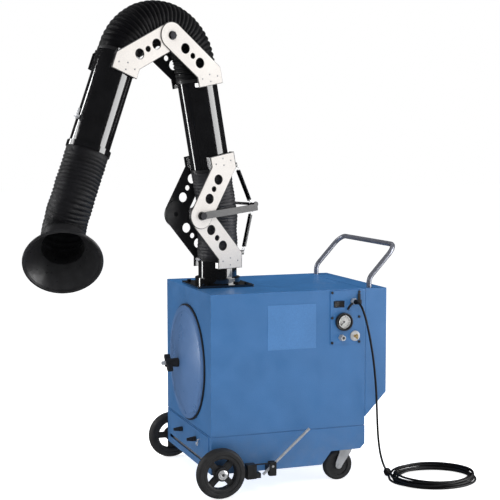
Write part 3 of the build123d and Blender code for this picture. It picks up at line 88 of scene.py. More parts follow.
inner_square = OUT * INNER_WAY.z - UP * INNER_WAY.dot(OUT)
outer_square = OUT * -OUTER_WAY.z + UP * OUTER_WAY.dot(OUT)
column_end = Link(SHOULDER, -UP, -OUT)
inner_low = Link(SHOULDER, INNER_WAY, -inner_square)
inner_top = Link(ELBOW, -INNER_WAY, -inner_square)
outer_end = Link(ELBOW, OUTER_WAY, outer_square)


# ------------------------------------------------------------ material tools


class Surface:
    """A node material that is built up round one Principled shader."""

    def __init__(self, name, **constants):
        self.material = bpy.data.materials.new(name)
        self.material.use_nodes = True
        self.tree = self.material.node_tree
        self.shader = self.tree.nodes["Principled BSDF"]
        for socket, value in constants.items():
            self.shader.inputs[socket.replace("_", " ")].default_value = value

    def node(self, kind, **settings):
        made = self.tree.nodes.new(kind)
        for key, value in settings.items():
            if hasattr(made, key):
                setattr(made, key, value)
            else:
                made.inputs[key.replace("_", " ")].default_value = value
        return made

    def link(self, output, target):
        self.tree.links.new(output, target)

    def place(self, stretch=(1, 1, 1), uv=False):
        """Coordinates in metres in the row frame, or along a piece's own UV map, stretched by axis."""
        source = self.node("ShaderNodeTexCoord")
        mapping = self.node("ShaderNodeMapping")
        mapping.inputs["Scale"].default_value = stretch
        self.link(source.outputs["UV" if uv else "Object"], mapping.inputs["Vector"])
        return mapping.outputs["Vector"]

    def noise(self, scale, detail=3.0, stretch=(1, 1, 1), rough=0.55):
        made = self.node("ShaderNodeTexNoise", Scale=scale, Detail=detail, Roughness=rough)
        self.link(self.place(stretch), made.inputs["Vector"])
        return made.outputs["Fac"]

    def ramp(self, value, stops):
        made = self.node("ShaderNodeValToRGB")
        elements = made.color_ramp.elements
        while len(elements) < len(stops):
            elements.new(0.5)
        for element, (position, colour) in zip(elements, stops):
            element.position = position
            element.color = (*colour, 1)
        self.link(value, made.inputs["Fac"])
        return made.outputs["Color"]

    def spread(self, value, low, high, start=0.3, end=0.7):
        """Maps a texture value to a range."""
        made = self.node("ShaderNodeMapRange")
        settings = {"From Min": start, "From Max": end, "To Min": low, "To Max": high}
        for socket, number in settings.items():
            made.inputs[socket].default_value = number
        self.link(value, made.inputs["Value"])
        return made.outputs["Result"]

    def mix(self, factor, first, second, blend="MIX"):
        made = self.node("ShaderNodeMix", data_type="RGBA", blend_type=blend)
        for value, socket in ((factor, "Factor"), (first, "A"), (second, "B")):
            index = {"Factor": 0, "A": 6, "B": 7}[socket]
            if hasattr(value, "is_linked"):
                self.link(value, made.inputs[index])
            elif isinstance(value, tuple):
                made.inputs[index].default_value = (*value, 1)
            else:
                made.inputs[index].default_value = value
        return made.outputs[2]

    def math(self, operation, first, second=0.5):
        made = self.node("ShaderNodeMath", operation=operation)
        for value, socket in zip((first, second), made.inputs):
            if hasattr(value, "is_linked"):
                self.link(value, socket)
            else:
                socket.default_value = value
        return made.outputs[0]

    def colour(self, output):
        self.link(output, self.shader.inputs["Base Color"])
        return self

    def rough(self, output):
        self.link(output, self.shader.inputs["Roughness"])
        return self

    def bump(self, *layers):
        """Each layer is (height, strength, distance in metres)."""
        last = None
        for height, strength, distance in layers:
            made = self.node("ShaderNodeBump", Strength=strength, Distance=distance)
            self.link(height, made.inputs["Height"])
            if last:
                self.link(last, made.inputs["Normal"])
            last = made.outputs["Normal"]
        self.link(last, self.shader.inputs["Normal"])
        return self


def shade(colour, factor):
    return tuple(channel * factor for channel in colour)


def paint(name, colour, roughness=0.42, peel=0.18, wear=True):
    """Powder coat: faint clouding and specks, orange peel, and dust that settles low down."""
    s = Surface(name, Coat_Weight=0.18, Coat_Roughness=0.22, Specular_IOR_Level=0.45)
    cloud = s.ramp(s.noise(7, 4), [(0.3, shade(colour, 0.93)), (0.7, shade(colour, 1.06))])
    specks = s.ramp(s.noise(420, 2), [(0.35, (0.90, 0.90, 0.91)), (0.65, (1.07, 1.07, 1.06))])
    body = s.mix(1.0, cloud, specks, "MULTIPLY")
    if wear:
        split = s.node("ShaderNodeSeparateXYZ")
        s.link(s.place(), split.inputs[0])
        low = s.spread(split.outputs["Z"], 0.30, 0.0, 0.08, 0.26)
        dusty = s.math("MULTIPLY", low, s.spread(s.noise(24, 6), 0.0, 1.0))
        body = s.mix(dusty, body, (0.16, 0.19, 0.24))
        scuffs = s.spread(s.noise(60, 8, (1, 1, 0.16), 0.7), 0.0, 0.22, 0.66, 0.78)
        body = s.mix(scuffs, body, shade(colour, 1.7))
    s.colour(body)
    s.rough(s.spread(s.noise(14, 5), roughness - 0.05, roughness + 0.08))
    return s.bump((s.noise(900, 2), peel, 0.0004), (s.noise(3.2, 2), 0.05, 0.004)).material


def plastic(name, colour, roughness=0.5, grain=700, depth=0.25, coat=0.0):
    """Moulded plastic or rubber: a fine grain, and a dusting that lightens it in patches."""
    s = Surface(name, Coat_Weight=coat, Coat_Roughness=0.12, Specular_IOR_Level=0.4)
    tone = s.ramp(s.noise(40, 5), [(0.35, colour), (0.75, shade(colour, 1.55))])
    s.colour(tone)
    s.rough(s.spread(s.noise(55, 4), roughness - 0.08, roughness + 0.12))
    return s.bump((s.noise(grain, 3), depth, 0.0004)).material


def metal(name, colour, roughness=0.3, stretch=(1, 1, 1), brush=0.12, tarnish=0.75, bare=1.0):
    """Bare or plated metal, brushed along its least stretched axis, with duller patches."""
    s = Surface(name, Metallic=bare)
    s.colour(s.ramp(s.noise(30, 6), [(0.3, shade(colour, tarnish)), (0.62, colour)]))
    s.rough(s.spread(s.noise(260, 4, stretch), roughness - 0.09, roughness + 0.12))
    return s.bump((s.noise(520, 2, stretch), brush, 0.0003)).material


def gloss_black(name, colour, roughness=0.09):
    """Gloss lacquer over black steel, with a faint waviness that breaks up reflections."""
    s = Surface(name, Coat_Weight=1.0, Coat_Roughness=0.05, Specular_IOR_Level=0.6)
    s.colour(s.ramp(s.noise(16, 5), [(0.35, colour), (0.8, shade(colour, 1.7))]))
    s.rough(s.spread(s.noise(90, 6), roughness, roughness + 0.12, 0.4, 0.8))
    return s.bump((s.noise(9, 2), 0.10, 0.002), (s.noise(600, 2), 0.03, 0.0003)).material


def hose_cloth(name, colour, threads=(1, 1), shine=0.5):
    """Coated woven cloth on the hose's own UV map: a plain weave, darker in the gaps between threads as
    painted shade, with worn light crests.
    """
    s = Surface(name, Sheen_Weight=0.04, Sheen_Roughness=0.4, Specular_IOR_Level=shine)
    place = s.place((threads[0], threads[1], 1), uv=True)
    waves = []
    for direction in ("X", "Y"):
        wave = s.node("ShaderNodeTexWave", bands_direction=direction, Scale=1.0)
        s.link(place, wave.inputs["Vector"])
        waves.append(wave.outputs["Fac"])
    weave = s.math("MULTIPLY", waves[0], waves[1])
    tone = s.ramp(s.noise(26, 6), [(0.30, shade(colour, 0.7)), (0.72, shade(colour, 1.5))])
    # The weave darkens the gaps between threads as painted shade and lightens the crests as wear.
    weave_shade_and_wear = s.ramp(weave, [(0.0, (0.62, 0.62, 0.64)), (1.0, (1.25, 1.25, 1.22))])
    s.colour(s.mix(1.0, tone, weave_shade_and_wear, "MULTIPLY"))
    s.rough(s.spread(s.noise(70, 5), 0.34, 0.56))
    return s.bump((weave, 0.45, 0.0006), (s.noise(120, 5), 0.30, 0.0015)).material


BLUE = (0.035, 0.146, 0.358)
blue_paint = paint("blue powder coat", BLUE)
door_blue = paint("door powder coat", (0.080, 0.165, 0.345), 0.30, 0.10, False)
# Black plate finish; on the far balance lever it is painted shade, since that lever is the silver near
# lever's twin.
black_plate_and_far_lever_shade = paint("black plate and far lever shade", (0.012, 0.012, 0.013), 0.38, 0.12, False)
cream_plate = paint("cream enamel", (0.655, 0.615, 0.575), 0.40, 0.08, False)
label_blue = paint("label film", (0.050, 0.182, 0.430), 0.50, 0.04, False)
black_plastic = plastic("black moulding", (0.012, 0.012, 0.013), 0.42)
tyre_rubber = plastic("tyre rubber", (0.014, 0.014, 0.015), 0.62, 420, 0.4)
cord_rubber = plastic("cord rubber", (0.004, 0.004, 0.0045), 0.52, 900, 0.2)
seal_rubber = plastic("seal rubber", (0.010, 0.010, 0.010), 0.7, 500, 0.4)
hood_black = plastic("hood moulding", (0.014, 0.014, 0.015), 0.34, 500, 0.08, 0.1)
tube_black = gloss_black("black lacquer", (0.004, 0.004, 0.0045))
zinc = metal("zinc plate", (0.62, 0.63, 0.65), 0.40, (1, 1, 1), 0.10, 0.75, 0.55)
dull_zinc = metal("dull zinc", (0.36, 0.37, 0.39), 0.46, (1, 1, 1), 0.2, 0.6, 0.6)
handle_steel = metal("handle plate", (0.27, 0.28, 0.325), 0.30, (1, 1, 1), 0.05, 0.85, 0.6)
lever_steel = metal("lever steel", (0.54, 0.54, 0.57), 0.36, (0.08, 0.08, 1), 0.3, 0.7, 0.6)
spring_steel = metal("blackened spring", (0.020, 0.020, 0.022), 0.40)
bright_steel = metal("bright steel", (0.78, 0.78, 0.79), 0.26, (1, 1, 1), 0.04, 0.9, 0.6)
brass = metal("brass", (0.66, 0.46, 0.18), 0.28, (1, 1, 1), 0.08, 0.8, 0.6)
filter_paper = plastic("filter paper", (0.60, 0.57, 0.50), 0.8, 300, 0.5)
dial_white = plastic("dial enamel", (0.86, 0.86, 0.84), 0.35, 300, 0.02)
needle_dark = plastic("needle", (0.045, 0.045, 0.05), 0.4, 600, 0.05)
cloth_fine = hose_cloth("lower hose cloth", (0.017, 0.017, 0.021))
cloth_ribbed = hose_cloth("ribbed hose cloth", (0.010, 0.010, 0.0115), shine=0.28)
# The elbow hose is the same ribbed cloth as the hood hose, made darker here as painted shade.
shaded_elbow_cloth = hose_cloth("elbow hose cloth with painted shade", (0.0028, 0.0028, 0.0036), shine=0.2)

NODE_FINISH = {
    blue_paint: "base_housing cabinet rear_housing dust_drawer control_panel",
    door_blue: "filter_door",
    # far_balance_lever takes the black finish as painted shade: it is the silver near lever's twin, seen
    # dark on the far side.
    black_plate_and_far_lever_shade: "column_plates inner_plates outer_plates far_balance_lever",
    cream_plate: "column_covers inner_covers outer_covers",
    black_plastic: "door_knob near_clamp_knob far_clamp_knob brake_block brake_shoe cord_hook"
    " gauge_case rocker_switch panel_screws",
    tyre_rubber: "near_front_wheel far_front_wheel near_caster_wheel far_caster_wheel",
    seal_rubber: "door_seal",
    hood_black: "hood",
    tube_black: "arm_flange column_tube inner_tube outer_tube hood_collar",
    zinc: "tie_rod brake_lever near_caster_fork far_caster_fork cord_gland air_coupling"
    " lock_barrel damper_lever front_axle",
    dull_zinc: "caster_plates fan_motor fan_scroll fan_impeller",
    handle_steel: "push_handle",
    lever_steel: "near_balance_lever",
    brass: "panel_key",
    filter_paper: "filter_cartridge",
    needle_dark: "gauge_needle",
    spring_steel: "arm_pivots lower_springs upper_springs",
    cord_rubber: "power_cord cord_coil mains_plug",
    cloth_fine: "lower_hose",
    cloth_ribbed: "hood_hose",
    shaded_elbow_cloth: "elbow_hose",
}
for finish, names in NODE_FINISH.items():
    for name in names.split():
        nodes[name].data.materials.clear()
        nodes[name].data.materials.append(finish)


# ------------------------------------------------------------ mesh tools


def piece(name, verts, faces, material, slot=None, smooth=True, uvs=None):
    mesh = bpy.data.meshes.new(name)
    mesh.from_pydata([tuple(v) for v in verts], [], faces)
    mesh.materials.append(material)
    if uvs:
        layer = mesh.uv_layers.new(name="UVMap")
        for polygon in mesh.polygons:
            for loop in polygon.loop_indices:
                layer.data[loop].uv = uvs[polygon.index][loop - polygon.loop_start]
    if smooth:
        mesh.shade_smooth()
    mesh.update()
    made = bpy.data.objects.new(name, mesh)
    bpy.context.scene.collection.objects.link(made)
    return made


def sharpen(made, angle=35):
    """Keeps edges sharper than the angle crisp on a smooth-shaded piece."""
    made.data.set_sharp_from_angle(angle=radians(angle))
    return made


def bevelled(made, width, segments=2):
    modifier = made.modifiers.new("Bevel", "BEVEL")
    modifier.width = width
    modifier.segments = segments
    modifier.limit_method = "ANGLE"
    return made


def square_pair(way):
    """Two directions square to a way and to each other."""
    first = way.cross(UP if abs(way.z) < 0.9 else Vector((1, 0, 0))).normalized()
    return first, way.cross(first).normalized()


def carried_frames(points):
    """Side and up directions at each point of a line, carried along it without twist."""
    ways = [(b - a).normalized() for a, b in zip(points, points[1:])]
    ways = [ways[0]] + [(a + b).normalized() for a, b in zip(ways, ways[1:])] + [ways[-1]]
    side = square_pair(ways[0])[0]
    frames = []
    for way in ways:
        side = (side - way * side.dot(way)).normalized()
        frames.append((side, way.cross(side)))
    return frames


def lengths_along(points):
    run, total = [0.0], 0.0
    for a, b in zip(points, points[1:]):
        total += (b - a).length
        run.append(total)
    return run


def tube(points, radius, sides, closed=False):
    """Verts, faces and UVs of a tube along a line; radius is a number or a function of (length, turn)."""
    run, frames = lengths_along(points), carried_frames(points)
    verts, faces, uvs = [], [], []
    for length, point, (side, up) in zip(run, points, frames):
        for k in range(sides):
            turn = 2 * pi * k / sides
            r = radius(length, turn) if callable(radius) else radius
            verts.append(point + (side * cos(turn) + up * sin(turn)) * r)
    for i in range(len(points) - 1):
        for k in range(sides):
            j = (k + 1) % sides
            faces.append((i * sides + k, i * sides + j, (i + 1) * sides + j, (i + 1) * sides + k))
            low, high = run[i], run[i + 1]
            here, there = k / sides, (k + 1) / sides
            uvs.append(((low, here), (low, there), (high, there), (high, here)))
    if closed:
        faces.append(tuple(range(sides))[::-1])
        uvs.append(tuple((0, 0) for _ in range(sides)))
        last = (len(points) - 1) * sides
        faces.append(tuple(range(last, last + sides)))
        uvs.append(tuple((0, 0) for _ in range(sides)))
    return verts, faces, uvs


def merge(*parts):
    """Joins several (verts, faces) into one."""
    verts, faces = [], []
    for part in parts:
        start = len(verts)
        verts += part[0]
        faces += [tuple(start + i for i in face) for face in part[1]]
    return verts, faces


def turned(origin, way, profile, sides=48):
    """A solid of revolution; the profile is a closed list of (along, radius) in millimetres."""
    side, up = square_pair(way)
    verts = []
    for along, radius in profile:
        for k in range(sides):
            turn = 2 * pi * k / sides
            verts.append(origin + (way * along + (side * cos(turn) + up * sin(turn)) * radius) / 1000)
    faces = []
    for i in range(len(profile) - 1):
        for k in range(sides):
            j = (k + 1) % sides
            faces.append((i * sides + k, i * sides + j, (i + 1) * sides + j, (i + 1) * sides + k))
    if profile[0][1] > 0.05 and profile[0] != profile[-1]:
        faces.append(tuple(range(sides))[::-1])
        faces.append(tuple(range((len(profile) - 1) * sides, len(profile) * sides)))
    return verts, faces


def slab(corner, edges):
    """A box from one corner and its three edges."""
    a, b, c = edges
    verts = [corner + a * i + b * j + c * k for k in (0, 1) for j in (0, 1) for i in (0, 1)]
    faces = [(0, 2, 3, 1), (4, 5, 7, 6), (0, 1, 5, 4), (2, 6, 7, 3), (0, 4, 6, 2), (1, 3, 7, 5)]
    if a.cross(b).dot(c) < 0:
        faces = [face[::-1] for face in faces]
    return verts, faces


def helix(start, end, radius, turns, steps=16):
    """The line of a coil spring from start to end."""
    side, up = square_pair((end - start).normalized())
    count = int(turns * steps)
    points = []
    for i in range(count + 1):
        turn = 2 * pi * i / steps
        centre = start + (end - start) * (i / count)
        points.append(centre + (side * cos(turn) + up * sin(turn)) * radius)
    return points


def rounded_line(corners, radii, step):
    """A smooth line through tangent arcs at its corners, sampled every step."""
    marks = [corners[0]]
    for before, corner, after, radius in zip(corners, corners[1:], corners[2:], radii):
        come, leave = (corner - before).normalized(), (after - corner).normalized()
        turn = come.angle(leave)
        reach = radius * tan(turn / 2)
        start = corner - come * reach
        inward = (leave - come * leave.dot(come)).normalized()
        centre = start + inward * radius
        steps = max(2, int(radius * turn / step))
        for i in range(steps + 1):
            angle = turn * i / steps
            marks.append(centre + (come * sin(angle) - inward * cos(angle)) * radius)
    marks.append(corners[-1])
    line = [marks[0]]
    for a, b in zip(marks, marks[1:]):
        count = max(1, round((b - a).length / step))
        line += [a.lerp(b, i / count) for i in range(1, count + 1)]
    return line


# ------------------------------------------------------------ camera, lights and floor
CAMERA_PLACE = (-1.5294, -4.9418, 1.3941)
CAMERA_TURN = -20.32
CAMERA_DOWN = 4.34
CAMERA_LENS = 90.80
CAMERA_SHIFT = (-0.0368, -0.0260)
camera = bpy.data.objects.new("camera", bpy.data.cameras.new("camera"))
bpy.context.scene.collection.objects.link(camera)
camera.location = CAMERA_PLACE
camera.rotation_euler = (radians(90 - CAMERA_DOWN), 0, radians(CAMERA_TURN))
camera.data.lens = CAMERA_LENS
camera.data.sensor_width = 36
camera.data.shift_x, camera.data.shift_y = CAMERA_SHIFT
camera.data.clip_end = 60
bpy.context.scene.camera = camera
bpy.context.scene.view_settings.view_transform = "Standard"


def softbox(name, bearing, distance, height, size, power, kind="both", aim=0.9):
    """A rectangular soft light; the bearing is its direction from the object in degrees.

    A light of the kind "shine" shows in reflections only, and one of the kind "fill" never does.
    """
    data = bpy.data.lights.new(name, "AREA")
    data.shape = "RECTANGLE"
    data.size, data.size_y = size
    data.energy = power
    light = bpy.data.objects.new(name, data)
    bpy.context.scene.collection.objects.link(light)
    light.location = (distance * cos(radians(bearing)), distance * sin(radians(bearing)), height)
    target = Vector((0, 0, aim)) - light.location
    light.rotation_euler = target.to_track_quat("-Z", "Y").to_euler()
    light.visible_diffuse = kind != "shine"
    light.visible_glossy = kind != "fill"
    light.visible_camera = False


softbox("right window", -30, 3.4, 1.5, (2.3, 3.6), 150, "shine")
softbox("left window", 147, 3.8, 1.6, (0.4, 3.2), 45, "shine")
softbox("front sky", -112, 4.2, 4.2, (3.0, 2.0), 122, "fill")
softbox("door light", 165, 4.2, 2.6, (1.6, 1.4), 36, "both")
softbox("top", 60, 1.5, 4.6, (3.0, 3.0), 150, "fill")
softbox("right fill", -28, 3.8, 1.8, (2.0, 2.0), 14, "fill")

world = bpy.data.worlds.new("studio")
bpy.context.scene.world = world
world.use_nodes = True
tree = world.node_tree
SKY_TINT = (0.95, 0.97, 1, 1)


def background(node, colour, strength):
    node.inputs["Color"].default_value = colour
    node.inputs["Strength"].default_value = strength
    return node


seen = background(tree.nodes["Background"], (1, 1, 1, 1), 1.0)
ambient = background(tree.nodes.new("ShaderNodeBackground"), SKY_TINT, 0.30)
mirrored = background(tree.nodes.new("ShaderNodeBackground"), SKY_TINT, 0.03)
path = tree.nodes.new("ShaderNodeLightPath")
shine = tree.nodes.new("ShaderNodeMixShader")
tree.links.new(path.outputs["Is Glossy Ray"], shine.inputs["Fac"])
tree.links.new(ambient.outputs[0], shine.inputs[1])
tree.links.new(mirrored.outputs[0], shine.inputs[2])
choose = tree.nodes.new("ShaderNodeMixShader")
tree.links.new(path.outputs["Is Camera Ray"], choose.inputs["Fac"])
tree.links.new(shine.outputs[0], choose.inputs[1])
tree.links.new(seen.outputs[0], choose.inputs[2])
tree.links.new(choose.outputs[0], tree.nodes["World Output"].inputs["Surface"])

floor_finish = Surface("pale floor", Roughness=0.9, Emission_Color=(1, 1, 1, 1), Emission_Strength=0.80)
floor_finish.colour(floor_finish.ramp(floor_finish.noise(1.5), [(0.3, (0.84,) * 3), (0.7, (0.86,) * 3)]))
FLOOR_HALF = 30
FLOOR_Z = -0.0005
floor = piece(
    "floor",
    [Vector((x * FLOOR_HALF, y * FLOOR_HALF, FLOOR_Z)) for x, y in ((-1, -1), (1, -1), (1, 1), (-1, 1))],
    [(0, 1, 2, 3)],
    floor_finish.material,
)
floor.visible_glossy = False

# ------------------------------------------------------------ mains cord
CORD_WIDTH = 0.009
# from the gland on the panel down to the floor, in cart millimetres
CORD_ROUTE = [
    (606, -341, 747),
    (606, -375, 747),
    (608, -404, 725),
    (618, -415, 683),
    (638, -407, 612),
    (664, -389, 512),
    (685, -370, 390),
    (695, -358, 278),
    (704, -349, 190),
    (717, -341, 120),
    (735, -335, 67),
    (757, -328, 31),
    (788, -317, 9),
]
COIL_CENTRE = (938, -392)
COIL_HALF = (183, 165)
COIL_START = 130
# turns wound, how far inside the outer turn, and the height of the cord's middle
COIL_PLAN = [
    (0.0, 3, 5.4),
    (0.15, 0, 4.8),
    (1.9, 26, 4.8),
    (2.15, 34, 14.2),
    (3.75, 4, 14.2),
    (4.0, 2, 23.5),
    (5.6, 28, 23.5),
    (5.9, 31, 32.0),
    (6.35, 18, 32.0),
    (6.55, 6, 28.0),
    (6.72, -3, 13.0),
    (6.86, -1, 5.0),
]
COIL_STEPS = 16
LAYER_RISE = 9.4
LYING = 4.8
PLUG_TAIL = (776, -298, 16)
LEAD = [(758, -352, 5), (763, -336, 6.5), (771, -313, 11)]


def plan_at(turns):
    """How far inside the outer turn the cord lies after some turns, and how high."""
    for (t0, in0, z0), (t1, in1, z1) in zip(COIL_PLAN, COIL_PLAN[1:]):
        if turns <= t1:
            share = (turns - t0) / (t1 - t0)
            smooth = share * share * (3 - 2 * share)
            return in0 + (in1 - in0) * share, z0 + (z1 - z0) * smooth
    return COIL_PLAN[-1][1:]


def coil_points():
    """The loose turns: each layer is a little shifted and turned against the one below."""
    total = COIL_PLAN[-1][0]
    count = round(total * COIL_STEPS)
    points = []
    for i in range(count + 1):
        turns = total * i / count
        inset, height = plan_at(turns)
        layer = (height - LYING) / LAYER_RISE
        angle = radians(COIL_START - 360 * turns)
        wander = 2.0 * layer * sin(angle * 2 + layer * 1.9)
        x = (COIL_HALF[0] - inset - wander) * cos(angle) - 1.4 * layer
        y = (COIL_HALF[1] - inset + wander) * sin(angle) + 1.0 * layer
        points.append((COIL_CENTRE[0] + x, COIL_CENTRE[1] + y, height))
    return points


cord_points = [cart(*point) for point in CORD_ROUTE + coil_points() + LEAD + [PLUG_TAIL]]
cord_curve = bpy.data.curves.new("mains_cord", "CURVE")
cord_curve.dimensions = "3D"
spline = cord_curve.splines.new("NURBS")
spline.points.add(len(cord_points) - 1)
for point, place in zip(spline.points, cord_points):
    point.co = (*place, 1)
spline.order_u = 3
spline.use_endpoint_u = True
spline.resolution_u = 6
cord_curve.bevel_depth = CORD_WIDTH / 2
cord_curve.bevel_resolution = 5
cord_curve.use_fill_caps = True
cord_curve.materials.append(cord_rubber)
mains_cord = bpy.data.objects.new("mains_cord", cord_curve)
bpy.context.scene.collection.objects.link(mains_cord)
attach(mains_cord, "cart")
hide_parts("power_cord", "cord_coil")

plain = cord_curve.copy()
plain.bevel_depth = 0
line_object = bpy.data.objects.new("cord line", plain)
line_mesh = bpy.data.meshes.new_from_object(line_object)
line_spots = [vertex.co for vertex in line_mesh.vertices]
del line_spots
bpy.data.objects.remove(line_object)
bpy.data.meshes.remove(line_mesh)

tail = cart(*PLUG_TAIL)
lead_start = cart(LEAD[0][0], LEAD[0][1], PLUG_TAIL[2])
plug_way = (tail - lead_start).normalized()
plug_profile = [(-3, 4.6), (-3, 5.8)]
for rib in range(4):
    at, size = rib * 3.4 - 2, 5.8 + rib * 0.9
    plug_profile += [(at, size), (at + 1.8, size), (at + 2.2, size - 1.1)]
PLUG_LENGTH = 36
PIN_OFFSET = 0.0095
plug_profile += [(12, 11), (15, 15.4), (30, 15.8), (34.5, 15.4), (PLUG_LENGTH, 13.6), (PLUG_LENGTH, 0.01)]
pin_profile = [(0, 2.4), (17, 2.4), (20, 1.4), (20, 0.01)]
pin_side = plug_way.cross(UP).normalized()
plug_parts = [turned(tail, plug_way, plug_profile, 40)]
for side in (-1, 1):
    root = tail + plug_way * 0.035 + pin_side * (PIN_OFFSET * side)
    plug_parts.append(turned(root, plug_way, pin_profile, 16))
plug = sharpen(piece("plug_body", *merge(*plug_parts), cord_rubber, "cord_rubber"))
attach(plug, "cart")
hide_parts("mains_plug")

gland_tip = cart(606, -341, 747)
relief_profile = [(-2, 10.4), (0, 10.6), (4, 10.2)]
for rib in range(6):
    at = 5 + rib * 4.4
    size = 9.4 - rib * 0.62
    relief_profile += [(at, size), (at + 2.8, size - 0.3), (at + 3.1, size - 1.6)]
relief_profile += [(33, 5.4), (34, 4.7)]
relief_body = turned(gland_tip, Vector((0, -1, 0)), relief_profile, 32)
relief = sharpen(piece("cord_relief", *relief_body, cord_rubber, "cord_rubber"))
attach(relief, "cart")

# ------------------------------------------------------------ hoses
HOSE_R = 0.083
HOSE_SIDES = 96
CLOTH_SHEET = 0.0014
# threads per metre along the hose, and threads round it
CLOTH_THREADS = (900, 420)


def hose(name, line, pitch, depth, cuff, cloth, seed, wrinkle=0.0015, crest=0.0, soft_end=1.0):
    """A cloth hose over a spiral wire: the wire stands out and the cloth sinks between its turns."""
    total = lengths_along(line)[-1]

    def radius(length, turn):
        ends = min(length, total - length)
        slack = min(1.0, max(0.0, (ends - cuff) / 0.03))
        ease = 1 - (1 - soft_end) * min(1.0, max(0.0, length / total * 3 - 1.1))
        phase = length / pitch + turn / (2 * pi)
        wave = abs(cos(pi * phase)) ** 0.8
        rough = noise.noise(Vector((length * 26 + seed, cos(turn) * 1.6, sin(turn) * 1.6)))
        sunk = (depth * slack * ease + 0.0006) * (1 - wave)
        return HOSE_R + crest * slack * ease - sunk + wrinkle * slack * rough

    verts, faces, uvs = tube(line, radius, HOSE_SIDES)
    uvs = [tuple((u * CLOTH_THREADS[0], v * CLOTH_THREADS[1]) for u, v in face) for face in uvs]
    made = piece(name, verts, faces, cloth, "hose_fabric", uvs=uvs)
    shell = made.modifiers.new("Thickness", "SOLIDIFY")
    shell.thickness = CLOTH_SHEET
    shell.offset = -1
    return made


AXIS_T = 1000 * PIVOT_OFFSET
above_pivot = column_end.at(AXIS_T, 0)
bend_z = SHOULDER.z + PIVOT_OFFSET * tan(INNER_WAY.angle(UP) / 2)
bend_mid = Vector((above_pivot.x, above_pivot.y, bend_z))
lower_line = rounded_line([column_end.at(AXIS_T, 194), bend_mid, inner_low.at(AXIS_T, 157)], [0.5], 0.0016)
lower_hose = hose(
    "lower_hose_cloth",
    lower_line,
    pitch=0.0135,
    depth=0.0022,
    cuff=0.020,
    cloth=cloth_fine,
    seed=3,
    wrinkle=0.0035,
)
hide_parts("lower_hose")
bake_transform(lower_hose)

ELBOW_BEND = 0.185
fold = INNER_WAY.angle(-OUTER_WAY)
crown = AXIS_T / tan(fold / 2)
elbow_corners = [inner_top.at(AXIS_T, 200), inner_top.at(AXIS_T, -crown), outer_end.at(AXIS_T, 136)]
elbow_line = rounded_line(elbow_corners, [ELBOW_BEND], 0.0021)
elbow_hose = hose(
    "elbow_hose_cloth",
    elbow_line,
    pitch=0.0172,
    depth=0.0062,
    cuff=0.012,
    cloth=shaded_elbow_cloth,
    seed=11,
    wrinkle=0.0012,
    crest=0.0022,
)
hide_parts("elbow_hose")
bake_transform(elbow_hose)

HOOD_WAY = Vector((-0.16120, -0.82260, -0.54530)).normalized()
HOOD_NECK = 0.064
hood_base = HOOD_PIVOT + HOOD_WAY * HOOD_NECK
hood_line = rounded_line(
    [OUTER_FOOT, OUTER_FOOT + OUTER_WAY * 0.200, HOOD_PIVOT, hood_base], [0.250, 0.088], 0.0023
)
hood_hose = hose(
    "hood_hose_cloth",
    hood_line,
    pitch=0.0150,
    depth=0.0056,
    cuff=0.010,
    cloth=cloth_ribbed,
    seed=23,
    wrinkle=0.0030,
    crest=0.0018,
    soft_end=0.45,
)
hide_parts("hood_hose")
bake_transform(hood_hose)

# ------------------------------------------------------------ springs
SPRING_ASIDE = 0.066
SPRING_R = 0.0094
SPRING_WIRE = 0.0018
SPRING_PITCH = 0.0044
SPRING_END = 0.018
HOOK_R = 0.0065
HOOK_WIRE = 0.0014


def spring_pair(name, node, start, end):
    """Two coil springs, one on each side of the arm, and the hooks at their ends."""
    coils, hooks = [], []
    for side in (-1, 1):
        aside = ACROSS * (SPRING_ASIDE * side)
        a, b = start + aside, end + aside
        way = (b - a).normalized()
        first, last = a + way * SPRING_END, b - way * SPRING_END
        line = helix(first, last, SPRING_R - SPRING_WIRE, (last - first).length / SPRING_PITCH)
        coils.append(tube(line, SPRING_WIRE, 8, True)[:2])
        across = way.cross(ACROSS).normalized()
        for eye, inward in ((a, way), (b, -way)):
            ring = []
            for i in range(18):
                turn = 2 * pi * i / 20
                ring.append(eye + inward * (0.006 - HOOK_R * cos(turn)) + across * HOOK_R * sin(turn))
            ring.append(eye + inward * 0.020)
            hooks.append(tube(ring, HOOK_WIRE, 8, True)[:2])
    body = piece(name, *merge(*coils), spring_steel, "spring_steel")
    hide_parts(node)
    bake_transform(body)
    made = piece(name + "_hooks", *merge(*hooks), bright_steel, "zinc")
    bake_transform(made)


half_lean = INNER_WAY.angle(UP) / 2
lever_way = -(OUT * cos(half_lean) - UP * sin(half_lean))
lever_up = UP * cos(half_lean) + OUT * sin(half_lean)
ROD_REACH = 0.278
ROD_EYE = 0.013
PLATE_EYE = (234, 155)
rod = SHOULDER + lever_way * ROD_REACH
spring_pair(
    "lower_spring_coils",
    "lower_springs",
    column_end.at(*PLATE_EYE),
    rod - lever_up * ROD_EYE,
)
spring_pair(
    "upper_spring_coils",
    "upper_springs",
    inner_low.at(*PLATE_EYE),
    rod + lever_up * ROD_EYE,
)

# ------------------------------------------------------------ hose bands


def band(name, centre, way, radius, width, body, screw_way):
    """A worm-drive band round a hose end, with its bright screw housing."""
    half, outer = width / 2, radius + 1.0
    profile = [(-half, radius), (-half, outer), (half, outer), (half, radius)]
    strap = turned(centre, way, profile + [profile[0]], 96)
    made = sharpen(piece(name, *strap, black_plate_and_far_lever_shade, "black_gloss"))
    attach(made, body)
    outward = (screw_way - way * screw_way.dot(way)).normalized()
    along = way.cross(outward).normalized()
    seat = centre + outward * ((radius + 1) / 1000)
    block = slab(seat - along * 0.012 - way * 0.006, (along * 0.018, way * 0.012, outward * 0.009))
    shank_profile = [(-6, 0.01), (-6, 4.2), (0, 4.2), (2, 3.0), (30, 3.0), (30, 0.01)]
    shank = turned(seat + outward * 0.005 - along * 0.012, along, shank_profile, 20)
    screw = bevelled(sharpen(piece(name + "_screw", *merge(block, shank), bright_steel, "zinc")), 0.0008)
    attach(screw, body)


